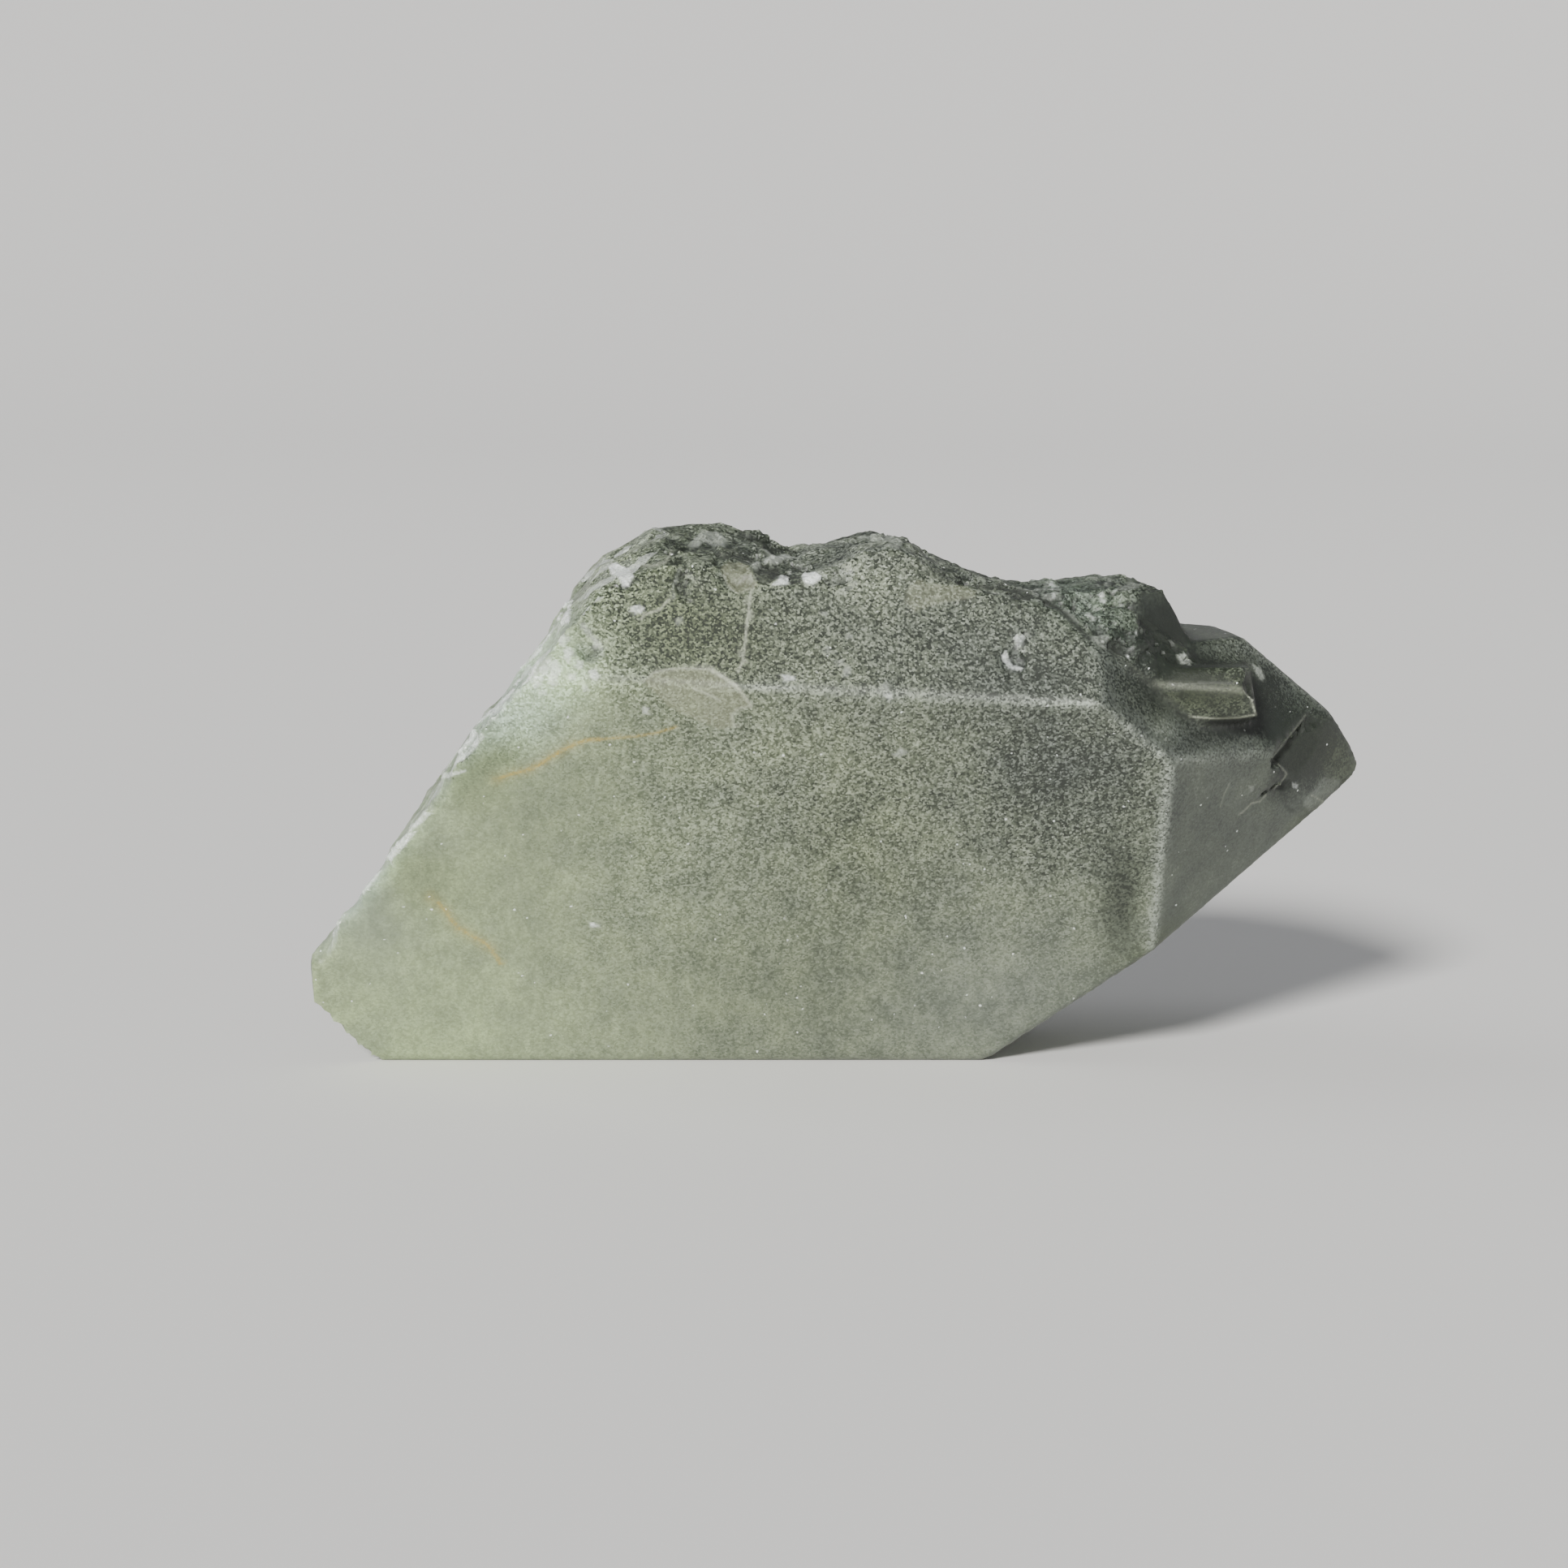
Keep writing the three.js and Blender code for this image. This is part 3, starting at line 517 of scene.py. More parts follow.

# thin lines in and on the stone, the dark ones mostly painted shade in cracks and painted shadow
# under ledges, and the glassy ones along the left rim painted highlights: what each is made of or
# painted as, how strong it shows, its half width in mm, and its path in x and height
lines = [
    # these four: bright lines along the left rim, painted highlights on its glassy edges
    ("glassAndGlint", 0.95, 0.07, [(-19.89, 23.52), (-20.47, 22.9), (-21.08, 22.2), (-21.77, 21.58),
        (-22.43, 21.03)]),
    ("glassAndGlint", 0.7, 0.05, [(-20.07, 23.33), (-20.7, 22.74), (-21.39, 22.07), (-22, 21.5)]),
    ("glassAndGlint", 0.6, 0.06, [(-24.14, 18.07), (-24.73, 17.37), (-24.91, 17.14)]),
    ("glassAndGlint", 0.6, 0.06, [(-25.6, 15.77), (-26.45, 14.95), (-27.06, 14.3)]),
    ("pale", 0.75, 0.07, [(-6.43, 29.17), (-6.51, 28.28), (-6.63, 27.2), (-6.72, 26.13),
        (-6.84, 25.24), (-7.1, 24.61)]),
    ("pale", 0.5, 0.06, [(-12.44, 24.04), (-11.91, 24.58), (-11.11, 24.75), (-10.31, 24.82),
        (-9.42, 24.79), (-8.53, 24.78)]),
    ("pale", 0.85, 0.09, [(-8.62, 24.69), (-7.99, 24.34), (-7.18, 23.8), (-6.64, 23.09),
        (-6.33, 22.68)]),
    ("pale", 0.55, 0.07, [(-6.33, 22.64), (-6.99, 22.51), (-7.43, 22.1), (-7.25, 21.47)]),
    ("darkAndShade", 0.4, 0.09, [(-8.17, 24.84), (-7.67, 24.52), (-6.95, 23.91), (-6.41, 23.2),
        (-6.08, 22.59)]),
    ("pale", 0.7, 0.07, [(-9.59, 23.61), (-8.87, 23.35), (-8.15, 22.99)]),
    ("pale", 0.35, 0.06, [(-7.96, 30.14), (-7.65, 29.61), (-7.43, 29.27), (-7.04, 29.09),
        (-6.58, 29.34), (-6.14, 29.67)]),
    ("pale", 0.6, 0.07, [(-12.65, 27.61), (-12.47, 27.88), (-11.58, 28.15), (-11.06, 28.78)]),
    ("pale", 0.5, 0.09, [(-13.13, 30.6), (-12.58, 30.7), (-11.84, 30.75), (-11.29, 30.99),
        (-10.92, 31.64)]),
    ("rust", 1, 0.11, [(-20.6, 18.48), (-19.83, 18.74), (-18.91, 18.95), (-18.3, 19.28),
        (-17.99, 19.5), (-17.22, 19.97), (-16.45, 20.41), (-15.68, 20.66), (-14.91, 20.71)]),
    ("rust", 0.8, 0.06, [(-19.53, 18.79), (-18.76, 19.15), (-17.99, 19.65), (-17.07, 20.15),
        (-16.45, 20.28)]),
    ("rust", 0.35, 0.3, [(-20.91, 18.33), (-19.83, 18.74), (-18.91, 18.95), (-17.99, 19.5),
        (-17.22, 19.97), (-16.45, 20.41)]),
    ("rust", 0.7, 0.08, [(-14.91, 20.71), (-13.98, 20.8), (-12.83, 20.9), (-11.76, 21.09),
        (-10.61, 21.43)]),
    ("rust", 0.85, 0.13, [(-24.13, 11.27), (-23.67, 10.74), (-23.36, 10.24), (-22.95, 9.8),
        (-22.12, 9.3), (-21.34, 8.87), (-20.88, 8.24), (-20.56, 7.77)]),
    ("rust", 0.35, 0.34, [(-24.59, 11.6), (-23.67, 10.74), (-23.05, 9.8), (-22.12, 9.3),
        (-21.03, 8.55)]),
    ("darkAndShade", 0.4, 0.26, [(20.8, 11.28), (23.58, 13.8), (26.35, 16.51), (28.75, 18.92)]),
    # these two: painted shade in the crack along the seam and where the upper stone meets the
    # faces
    ("darkAndShade", 1, 0.15, [(6.58, 29.58), (7.98, 29.47), (8.8, 29.33), (9.86, 29.08), (10.68, 28.79),
        (11.27, 28.41), (11.75, 27.89), (12.46, 27.19), (13.06, 26.65)]),
    ("darkAndShade", 0.65, 0.18, [(14.06, 26.13), (14.98, 25.43), (16.05, 24.59), (17.37, 23.54),
        (18.3, 22.67)]),
    # these two: painted shadow under the small tip's ledge
    ("darkAndShade", 1, 0.13, [(18.19, 22.41), (18.9, 22.08), (19.61, 21.91)]),
    ("darkAndShade", 0.9, 0.15, [(18.56, 22.28), (19.29, 21.96), (20.56, 21.84), (21.82, 21.9),
        (22.63, 22.12)]),
    ("pale", 0.9, 0.06, [(18.92, 22.17), (20.37, 22.07), (21.82, 22.13), (22.79, 22.3)]),
    ("pale", 0.8, 0.06, [(22.79, 22.3), (22.42, 23.33), (22.05, 23.69)]),
    ("pale", 0.25, 0.2, [(16.89, 24.02), (18.52, 23.94), (20.15, 23.8), (21.96, 23.69)]),
    # faint painted highlight on the rim of the step near the point
    ("pale", 0.2, 0.05, [(25.66, 22.31), (25.1, 21.53), (24.48, 20.72), (23.83, 19.84)]),
    ("pale", 0.3, 0.05, [(23.83, 19.81), (24.66, 18.9), (24.45, 18.54), (23.95, 18.03)]),
    # painted shadow beside the step near the point
    ("darkAndShade", 0.9, 0.18, [(24.09, 19.59), (24.58, 20.32), (25.29, 21.08), (25.78, 21.77)]),
    ("pale", 0.35, 0.05, [(23.47, 17.63), (23.12, 17.26), (22.66, 17.17), (22.13, 16.63),
        (21.95, 16.53)]),
    ("pale", 0.25, 0.04, [(21.36, 18.35), (21.02, 17.62), (20.85, 16.98)]),
    ("pale", 0.4, 0.04, [(26.11, 17.64), (26.84, 17.28), (26.31, 16.73)]),
]

# soft clouds of colour in the stone, some of the dark ones painted shade and shadow near the point
# and some of the pale green ones at the left end partly painted glow: centre x and height, half
# widths, how many degrees they are turned, and how much paler, more olive, more speckled and
# greener they make it
clouds = [
    (12, 18.5, 5.5, 4.5, -25, -0.17, -0.2, 0.1, 0),
    (0.5, 14.5, 4, 5.5, 0, -0.02, 0.2, 0.1, 0),
    (-2.8, 20, 4, 1.4, 0, 0.06, 0.1, 0, 0),
    (16, 10.6, 1.1, 3.2, 0, -0.21, 0.05, -0.1, 0),
    (-9.5, 27, 4.6, 2.6, -15, -0.12, 0.4, 0.1, 0),
    (8.5, 25, 5, 2.4, 0, -0.09, -0.2, 0, 0),
    (-22, 17.7, 1.6, 1.2, 40, -0.05, 0.4, 0, 0),
    (-23.5, 15.8, 2.6, 2, 45, 0.05, -0.1, 0, 0),
    (-25, 11.8, 1.8, 1.3, -40, -0.06, 0.4, 0, 0),
    (-28.5, 9.5, 2.6, 3.6, 30, -0.02, -0.3, -0.1, 0),
    # these two: the pale green glassy patch at the upper left, partly painted glow through the
    # thin end
    (-17.6, 24.4, 3.4, 2.6, 50, 0.36, -0.4, 0.4, 0.5),
    (-20, 21, 1.8, 2.2, 50, 0.14, -0.3, 0.3, 0.4),
    (-4, 5, 9, 5, 0, -0.04, 0.1, 0, 0),
    (9, 4, 7, 4.5, 0, -0.01, -0.25, -0.1, 0),
    (30.8, 17.6, 1.8, 2.2, 30, -0.1, 0.6, 0.1, 0),
    # painted shadow beside the step near the point, together with the tip's olive
    (28.6, 19.4, 3.2, 1.9, 45, -0.26, 0.2, 0.1, 0),
    (28.6, 16.6, 1.8, 0.8, 38, -0.04, -0.2, 0, 0),
    (28.4, 14.9, 1.9, 0.6, 40, -0.08, 0.5, 0, 0),
    (18.5, 7.8, 2.2, 0.8, 40, -0.08, 0.4, 0, 0),
    (20.5, 23.3, 3.6, 1.3, 0, -0.2, 0.5, -0.55, 0),
    # these two: painted shadow under and right of the end of the small tip's ledge
    (22.4, 20.8, 2.3, 0.6, 0, -0.16, 0, 0, 0),
    (25, 22.4, 1.4, 1.8, -10, -0.2, 0, 0, 0),
    # painted shade on the smooth face of the upper stone that turns from the light
    (18.4, 26.2, 3, 2.2, -45, -0.22, 0.15, -0.5, 0.5),
    (22.5, 25.4, 3, 1.4, -20, 0.02, 0.1, 0.3, 0),
    (15.8, 23.4, 0.8, 3.2, 45, -0.06, 0.1, 0.2, 0),
    (-14, 31, 4, 1.2, 0, -0.02, 0.1, 0.2, 0),
    (0.5, 30.2, 4, 1.6, -10, 0.1, 0, 0.2, 0),
    (17.8, 21.1, 1.2, 0.8, 0, 0.13, 0, 0, 0),
    # painted shadow under the small tip's ledge
    (22.2, 21.5, 2.6, 1, 0, -0.15, 0.1, 0, 0),
    # these three: painted shadow beside the step near the point
    (25.2, 20.2, 2, 0.6, 50, -0.12, 0, 0, 0.3),
    (26.3, 17.4, 1.4, 0.9, 40, -0.2, 0.1, 0, 0.2),
    (27.2, 20, 1.6, 1.8, 20, -0.17, 0.3, 0, 0.9),
    (15.3, 26.5, 0.8, 0.5, 0, -0.18, 0, 0, 0.6),
    (20, 24.4, 2, 0.5, 0, -0.09, 0, 0, 0),
    (20.1, 22.9, 2, 0.5, 0, 0.03, 0, 0, 0),
    (-11.2, 26.6, 4, 1.6, 0, -0.06, 0.1, 0, 0),
    (11.2, 19.5, 3, 2.4, 0, -0.06, 0, 0, 0),
    (15.8, 12.9, 1.2, 4, 0, -0.05, 0, 0, 0),
    (20.8, 12.9, 2.4, 2.4, 0, -0.04, 0, 0, 0),
    (-28.1, 11.6, 4.5, 0.8, 52, 0.11, -0.3, 0, 0.6),
    (-20.4, 19.6, 1.6, 0.8, 20, -0.09, 0.35, 0, 0),
    (-18.6, 22.1, 1.6, 1.4, 0, -0.04, -0.2, 0, 0.2),
    (-21.4, 21.2, 5, 1, 52, 0, -0.3, 0, 0.5),
    (13.4, 28.4, 2.6, 1.6, -20, 0.03, -0.1, 0, 0.8),
    (-15.2, 29.7, 2.6, 2, 30, -0.08, 0.1, 0.6, 0),
    (-13.1, 26.3, 2, 1.4, 0, -0.04, 0, 0, 0),
    (11.3, 14.3, 2.6, 2.4, 0, -0.04, 0, 0.25, 0),
    (11.2, 19.9, 3.2, 2.2, 0, 0, -0.1, 0.15, 0),
    (-17.2, 24.5, 2, 2, 45, 0.06, 0.3, 0, 0.4),
]

drawings = [{"what": what, "strength": strength, "rise": rise, "wide": 0, "path": np.array(path)}
            for what, strength, rise, path in shapes]
drawings += [{"what": what, "strength": strength, "rise": 0, "wide": wide, "path": np.array(path)}
             for what, strength, wide, path in lines]


# where each point is met on the sheet, and whether its stone faces the camera at all
def seenSpots(points, normals):
    eye = np.array(view["place"])
    away = points - eye
    share = (crystal["sheetAt"] - eye[1]) / away[:, 1]
    facing = -(normals * away).sum(1) / np.linalg.norm(away, axis=1)
    needed = np.where(normals @ endWay > crystal["drawnEnd"], crystal["drawnFacingEnd"],
                      crystal["drawnFacing"])
    return (eye + away * share[:, None])[:, [0, 2]], facing > needed


def segmentGap(spots, start, end):
    along = end - start
    share = np.clip((spots - start) @ along / (along @ along), 0, 1)
    return np.linalg.norm(spots - start - share[:, None] * along, axis=1)


# how far spots lie inside an outline, negative outside it
def outlineGap(spots, outline):
    gap = np.full(len(spots), 1e9)
    inside = np.zeros(len(spots), bool)
    for start, end in zip(outline, np.roll(outline, -1, axis=0)):
        gap = np.minimum(gap, segmentGap(spots, start, end))
        if start[1] != end[1]:
            level = (spots[:, 1] - start[1]) / (end[1] - start[1])
            crossed = (start[1] > spots[:, 1]) != (end[1] > spots[:, 1])
            inside ^= crossed & (spots[:, 0] < start[0] + level * (end[0] - start[0]))
    return np.where(inside, gap, -gap)


def lineGap(spots, path):
    return np.min([segmentGap(spots, *ends) for ends in zip(path[:-1], path[1:])], axis=0)


# the drawings one by one, each with the spots near it, how strongly it covers them and how far
# inside it they lie
def drawn(spots, faces, margin):
    soft = crystal["outlineSoft"]
    for item in drawings:
        path, wide = item["path"], item["wide"]
        reach = margin + crystal["lineReach"] * wide
        near = np.nonzero(faces & (spots > path.min(0) - reach).all(1)
                          & (spots < path.max(0) + reach).all(1))[0]
        if len(near) == 0:
            continue
        if wide:
            gap = lineGap(spots[near], path)
            yield item, near, bump(gap, wide), wide - gap
        else:
            gap = outlineGap(spots[near], path)
            yield item, near, smooth(-soft, soft, gap), gap


def edgeGap(points, planes):
    away = np.array([out - points @ normal for normal, out in planes.values()])
    return np.partition(away, 1, axis=0)[1]  # the second nearest face: small only near an edge


# the solid's surface again as an even mesh, and a tree to look things up on the solid itself
def evenMesh(source):
    bm = bmesh.new()
    bm.from_mesh(source)
    tree = BVHTree.FromBMesh(bm)
    bmesh.ops.remove_doubles(bm, verts=bm.verts, dist=crystal["mergeGap"] * mm)
    merged = bpy.data.meshes.new("merged")
    bm.to_mesh(merged)
    piece = bpy.data.objects.new("merged", merged)
    bpy.context.scene.collection.objects.link(piece)
    even = piece.modifiers.new("even", "REMESH")
    even.mode = "VOXEL"
    even.voxel_size = crystal["meshLength"] * mm
    graph = bpy.context.evaluated_depsgraph_get()
    made = bpy.data.meshes.new_from_object(piece.evaluated_get(graph))
    bm.clear()
    bm.from_mesh(made)
    bpy.data.objects.remove(piece)
    bpy.data.meshes.remove(merged)
    bpy.data.meshes.remove(made)
    return bm, tree


def normalsOf(parts):
    return np.array([part.normal for part in parts])


# halves the mesh in the drawn shapes, at the crystal's edges and on the rough top, and then
# once more along the lines and round the glassy chips and painted glints
def refine(bm, planes, isRough):
    margin = 0.2  # mm, wide enough for both reaches
    for turn in range(2):
        points = np.array([f.calc_center_median() for f in bm.faces]) / mm
        spots, faces = seenSpots(points, normalsOf(bm.faces))
        fine = np.zeros(len(points), bool)
        if turn == 0:
            fine = faces & (edgeGap(points, planes) < crystal["edgeReach"])
            fine |= faces & (points[:, 2] > crystal["topFrom"]) & isRough(points)
        for item, near, share, gap in drawn(spots, faces, margin):
            if turn == 0:
                fine[near] |= gap > -crystal["shapeReach"]
            elif item["wide"] or item["what"] == "glassAndGlint":
                fine[near] |= np.abs(gap) < crystal["outlineReach"]
        split = {e for f, chosen in zip(bm.faces, fine) if chosen for e in f.edges}
        bmesh.ops.subdivide_edges(bm, edges=list(split), cuts=1, use_grid_fill=True)
        bmesh.ops.triangulate(bm, faces=bm.faces)
        bm.normal_update()
        print("  refined to", len(bm.faces), "triangles")


def soften(bm, isChosen, passes):
    chosen = [v for v, share in zip(bm.verts, isChosen) if share]
    for turn in range(passes):
        bmesh.ops.smooth_vert(bm, verts=chosen, factor=crystal["softening"], use_axis_x=True,
                              use_axis_y=True, use_axis_z=True)


def positions(bm):
    return np.array([v.co for v in bm.verts], float) / mm


# shell-like scoops of a fresh break, sharp along the ridges between them
def scoops(size, seed):
    mean = 0.22

    def height(p):
        gaps = noise.voronoi(p / size + Vector((seed, seed, seed)))[0]
        return gaps[0] * gaps[0] - mean
    return height


# angular blocks, each with a height and a tilt of its own
def blocks(size, seed):
    steepness = 1.6
    tiltSeed, heightSeed = 7.3, 5.1

    def height(p):
        q = p / size + Vector((seed, seed, seed))
        centre = noise.voronoi(q)[1][0]
        tilt = noise.cell_vector(centre * tiltSeed) - Vector((0.5, 0.5, 0.5))
        return (q - centre).dot(tilt) * steepness + noise.cell(centre * heightSeed) - 0.5
    return height


def grain(size, seed):
    return lambda p: noise.noise(p / size + Vector((seed, seed, seed)))


# the relief of broken stone: pattern, width in mm, how deep on the top and on the glassy
# broken end, and a seed
relief = [
    (scoops, 3.1, 0.20, 0.34, 3.1),
    (scoops, 1.3, 0.10, 0.11, 8.7),
    (blocks, 2.1, 0.15, 0.06, 1.9),
    (blocks, 0.8, 0.11, 0.03, 6.3),
    (blocks, 0.45, 0.045, 0.02, 5.7),
    (grain, 0.6, 0.07, 0.02, 4.4),
]


def roughRelief(points, glassy):
    places = [Vector(p) for p in points]
    height = np.zeros(len(points))
    for pattern, wide, deep, deepGlassy, seed in relief:
        shape = pattern(wide, seed)
        height += (deep + (deepGlassy - deep) * glassy) * np.array([shape(p) for p in places])
    return height


# how far into the broken stone each point lies, 0 on the grown faces and 1 well inside
def breakWeight(bm, isRough):
    bm.verts.index_update()
    weight = isRough.astype(float)
    pairs = np.array([(e.verts[0].index, e.verts[1].index) for e in bm.edges])
    count = np.bincount(pairs.ravel(), minlength=len(weight))
    for turn in range(crystal["breakPasses"]):
        total = np.bincount(pairs[:, 0], weight[pairs[:, 1]], len(weight))
        total += np.bincount(pairs[:, 1], weight[pairs[:, 0]], len(weight))
        weight = np.where(isRough, (weight + total / count) / 2, 0)
    return smooth(*crystal["breakStep"], weight)


def buildStone():
    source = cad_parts[crystal["node"]].data
    onLevel, patches = levelPatches(source)
    planes = grownPlanes(patches)
    print("  level patches", len(patches), "grown faces", len(planes))
    bm, tree = evenMesh(source)

    def liesOnBreak(places):
        return np.array([not onLevel[tree.find_nearest(Vector(p) * mm)[2]] for p in places])

    refine(bm, planes, liesOnBreak)
    isRough = liesOnBreak(positions(bm))
    soften(bm, isRough, crystal["roughPasses"])
    onEdge = (edgeGap(positions(bm), planes) < crystal["edgeReach"]) & ~isRough
    soften(bm, onEdge, crystal["edgePasses"])
    print("  softened", isRough.sum(), "rough and", onEdge.sum(), "edge points")
    bm.normal_update()
    spots, faces = seenSpots(positions(bm), normalsOf(bm.verts))
    atRoot = bump(np.linalg.norm(spots - crystal["root"], axis=1), crystal["rootReach"]) * faces
    soften(bm, atRoot > crystal["rootShare"], crystal["rootPasses"])
    weight = breakWeight(bm, isRough)

    bm.normal_update()
    points = positions(bm)
    normals = normalsOf(bm.verts)
    glassy = smooth(*crystal["endFacing"], normals @ endWay) * isRough
    rise = np.zeros(len(points))
    rise[isRough] = roughRelief(points[isRough], glassy[isRough]) * weight[isRough]
    rise *= 1 - atRoot

    paint = {name: np.zeros(len(points)) for name in stone["layers"]}
    # painted shade in the relief's hollows and painted light on its ridges
    paint["reliefShade"] = np.clip(rise * crystal["reliefShadeShare"], -1, 1)
    spots, faces = seenSpots(points, normals)
    margin = 0.1  # mm, wide enough for every outline to fade
    for item, near, share, gap in drawn(spots, faces, margin):
        layer = paint[item["what"]]
        layer[near] = np.maximum(layer[near], item["strength"] * share)
        rise[near] += item["rise"] * share

    moved = np.clip(points + normals * rise[:, None],
                    np.array(cadBox[0]) / mm, np.array(cadBox[1]) / mm)
    for v, place in zip(bm.verts, moved):
        v.co = Vector(place) * mm

    paint["worn"] = wornShare(points, planes) * (1 - weight)
    paint["broken"] = glassy * weight * smooth(*change["chips"], points[:, 0])
    paint["veined"] = smooth(*change["veins"], points[:, 0])
    onTop = smooth(*change["top"], points[:, 2])
    paint.update(tones(points, normals, weight * np.maximum(glassy, onTop)))
    return bm, paint


# the crystal: its stone

# how the stone changes over the crystal. A pair is where a change starts and where it is full,
# in mm of x, height (z) or depth (y)
change = {
    "faceFocus": 12,  # keeps each grown face's look to that face
    "top": (20, 23),  # z: broken stone has its own look from here up
    # towards the left end the stone is paler, more olive and greener, partly as painted glow of
    # light through the thin end
    "left": (2, -26),  # x
    "leftTone": 0.2,
    "leftToneBroken": 0.5,  # how much of it is missing on broken stone
    "leftHue": 0.35,
    "leftGreen": 0.4,
    # towards the bottom the stone is paler, partly as painted light bounced from the floor
    "low": (20, 2),  # z
    "lowTone": 0.06,
    "lowPlain": 0.9,
    "high": (21, 24),  # z
    "plain": (-6, -20),  # x: the speckle fades out towards the left
    "plainHigh": (-7.5, 3),  # how far that shifts on the upper face
    "plainMost": 0.85,
    "cloudDepth": (4, -4),  # y: the clouds belong to the side that shows
    "speckleMost": 1.3,
    # the glassy broken end, lighter and with painted glints, from here on
    "chips": (-8, -14),  # x
    "veins": (16, 8),  # x
    "wornHigh": 21,  # z: above this, edges are worn as in the next line
    "worn": (-12, -2),  # x
}


def wornShare(points, planes):
    worn = np.zeros(len(points))
    for (first, second), strength in wornEdges.items():
        if first in planes and second in planes:
            away = sum(np.abs(planes[n][1] - points @ planes[n][0]) for n in (first, second))
            worn = np.maximum(worn, strength * bump(away, crystal["wornWide"]))
    fade = np.where(points[:, 2] > change["wornHigh"], smooth(*change["worn"], points[:, 0]), 1)
    return worn * np.where(points[:, 1] < 0, fade, 1)


# how pale, how olive, how speckled and how green the stone is at each point, with painted shade on
# faces that turn from the light and painted glow and floor light towards the left and bottom
def tones(points, normals, weight):
    x, y, z = points.T
    facing = np.array([
        np.clip(normals @ direction(turn, lift), 0, 1) ** change["faceFocus"]
        for turn, lift, *look in grownFaces.values()])
    facing /= facing.sum(0) + 1e-9
    looks = np.array([look for turn, lift, *look in grownFaces.values()])
    broken = np.array(brokenLook)
    tone, hue, speckle = (facing.T @ looks * (1 - weight)[:, None] + broken * weight[:, None]).T
    left = smooth(*change["left"], x)
    low = smooth(*change["low"], z)
    high = smooth(*change["high"], z)
    tone = tone + change["leftTone"] * left * (1 - change["leftToneBroken"] * weight)
    tone = tone + change["lowTone"] * low
    hue = hue + change["leftHue"] * left
    start, end = (at + shift * high for at, shift in zip(change["plain"], change["plainHigh"]))
    plain = np.maximum(change["lowPlain"] * low, smooth(start, end, x))
    speckle = speckle * (1 - change["plainMost"] * plain)
    green = change["leftGreen"] * left
    for middle, height, wide, tall, spin, paler, olive, fleck, greener in clouds:
        cos, sin = direction(spin, 0)[:2]
        along = ((x - middle) * cos + (z - height) * sin) / wide
        over = ((z - height) * cos - (x - middle) * sin) / tall
        share = np.exp(-along ** 2 - over ** 2) * smooth(*change["cloudDepth"], y)
        tone += paler * share
        hue += olive * share
        speckle += fleck * share
        green += greener * share
    return {"tone": tone, "hue": hue, "speckle": np.clip(speckle, 0, change["speckleMost"]),
            "green": np.clip(green, 0, 1)}


stone = {
    "ramp": [
        (0.0, (0.014, 0.017, 0.014)),
        (0.25, (0.085, 0.095, 0.080)),
        (0.5, (0.225, 0.24, 0.205)),
        (0.75, (0.42, 0.445, 0.38)),
        (1.0, (0.74, 0.77, 0.70)),
    ],
    "oliveTint": (0.92, 1.0, 0.66, 1),
    "coolTint": (0.97, 1.0, 1.03, 1),
    "greenTint": (0.86, 1.0, 0.90, 1),
    # what covers the stone, and the painted shade and glints laid over it, from the lowest layer
    # up:
    # how much of it at most, and its colour
    "layers": {
        "flake": (0.4, (0.235, 0.25, 0.16, 1)),
        "milk": (0.75, (0.36, 0.39, 0.345, 1)),
        "worn": (0.9, (0.38, 0.42, 0.36, 1)),
        "pale": (1.0, (0.36, 0.385, 0.30, 1)),
        "rust": (0.68, (0.38, 0.275, 0.05, 1)),
        # dark spots, and painted shade and shadow in hollows, cracks, beside steps and under
        # ledges
        "darkAndShade": (0.85, (0.012, 0.015, 0.011, 1)),
        # glassy chips, whitish as painted glints and reflections; also the colour of the painted
        # glints below
        "glassAndGlint": (0.97, (0.72, 0.76, 0.73, 1)),
    },
    "grainWide": 0.115,  # mm
    "chipGlintWide": 1.2,
    # noises: width in mm, detail and roughness
    "coarse": (0.34, 3.0, 0.65),
    "cloud": (2.6, 3.0, 0.55),
    "streak": (1.0, 2.0, 0.5),  # in a space that streakWide stretches
    "streakWide": (0.55, 0.55, 4.5),
    # spreads: a pattern's values between the first two numbers become those of the pair
    "fineSpread": (0.0, 1.0, (-1.0, 1.0)),
    "coarseSpread": (0.36, 0.64, (-1.0, 1.0)),
    "cloudSpread": (0.3, 0.7, (-1.0, 1.0)),
    "streakSpread": (0.35, 0.7, (-0.025, 0.05)),
    "sparseCover": (0.0, 0.9, (0.1, 1.3)),
    "evenCover": (0.25, 0.75, (0.85, 1.1)),
    "mottledCover": (0.0, 1.0, (0.55, 1.2)),
    "glintSpread": (0.999, 0.9995, (0.0, 0.75)),
    "chipGlintSpread": (0.7, 1.0, (0.0, 0.6)),
    "roughnessSpread": (0.0, 1.0, (0.44, 0.6)),
    # how much each pattern or attribute adds
    "fineContrast": 0.35,
    "coarseContrast": 0.07,
    "plainContrast": 0.11,  # how much of the contrast stays where the stone is not speckled
    "hueContrast": -0.9,  # the pale grains are cooler than the dark ones
    "cloudTone": 0.05,
    "cloudHue": 0.08,
    # painted shade in the hollows and painted light on the ridges of the broken relief
    "reliefShadeTone": 0.26,
    # the glassy broken end is lighter, partly as painted glow
    "brokenTone": 0.16,
    "roughness": {"glassAndGlint": -0.36, "darkAndShade": 0.4, "broken": -0.14},
    "bumpStrength": 0.5,
    "bumpHeight": 0.05,  # mm
    "fineBump": 0.8,
    "ior": 1.54,
    "glow": 0.30,  # how much light soaks in
    "glowReach": (1.5, 1.6, 1.15),  # mm for red, green and blue
}


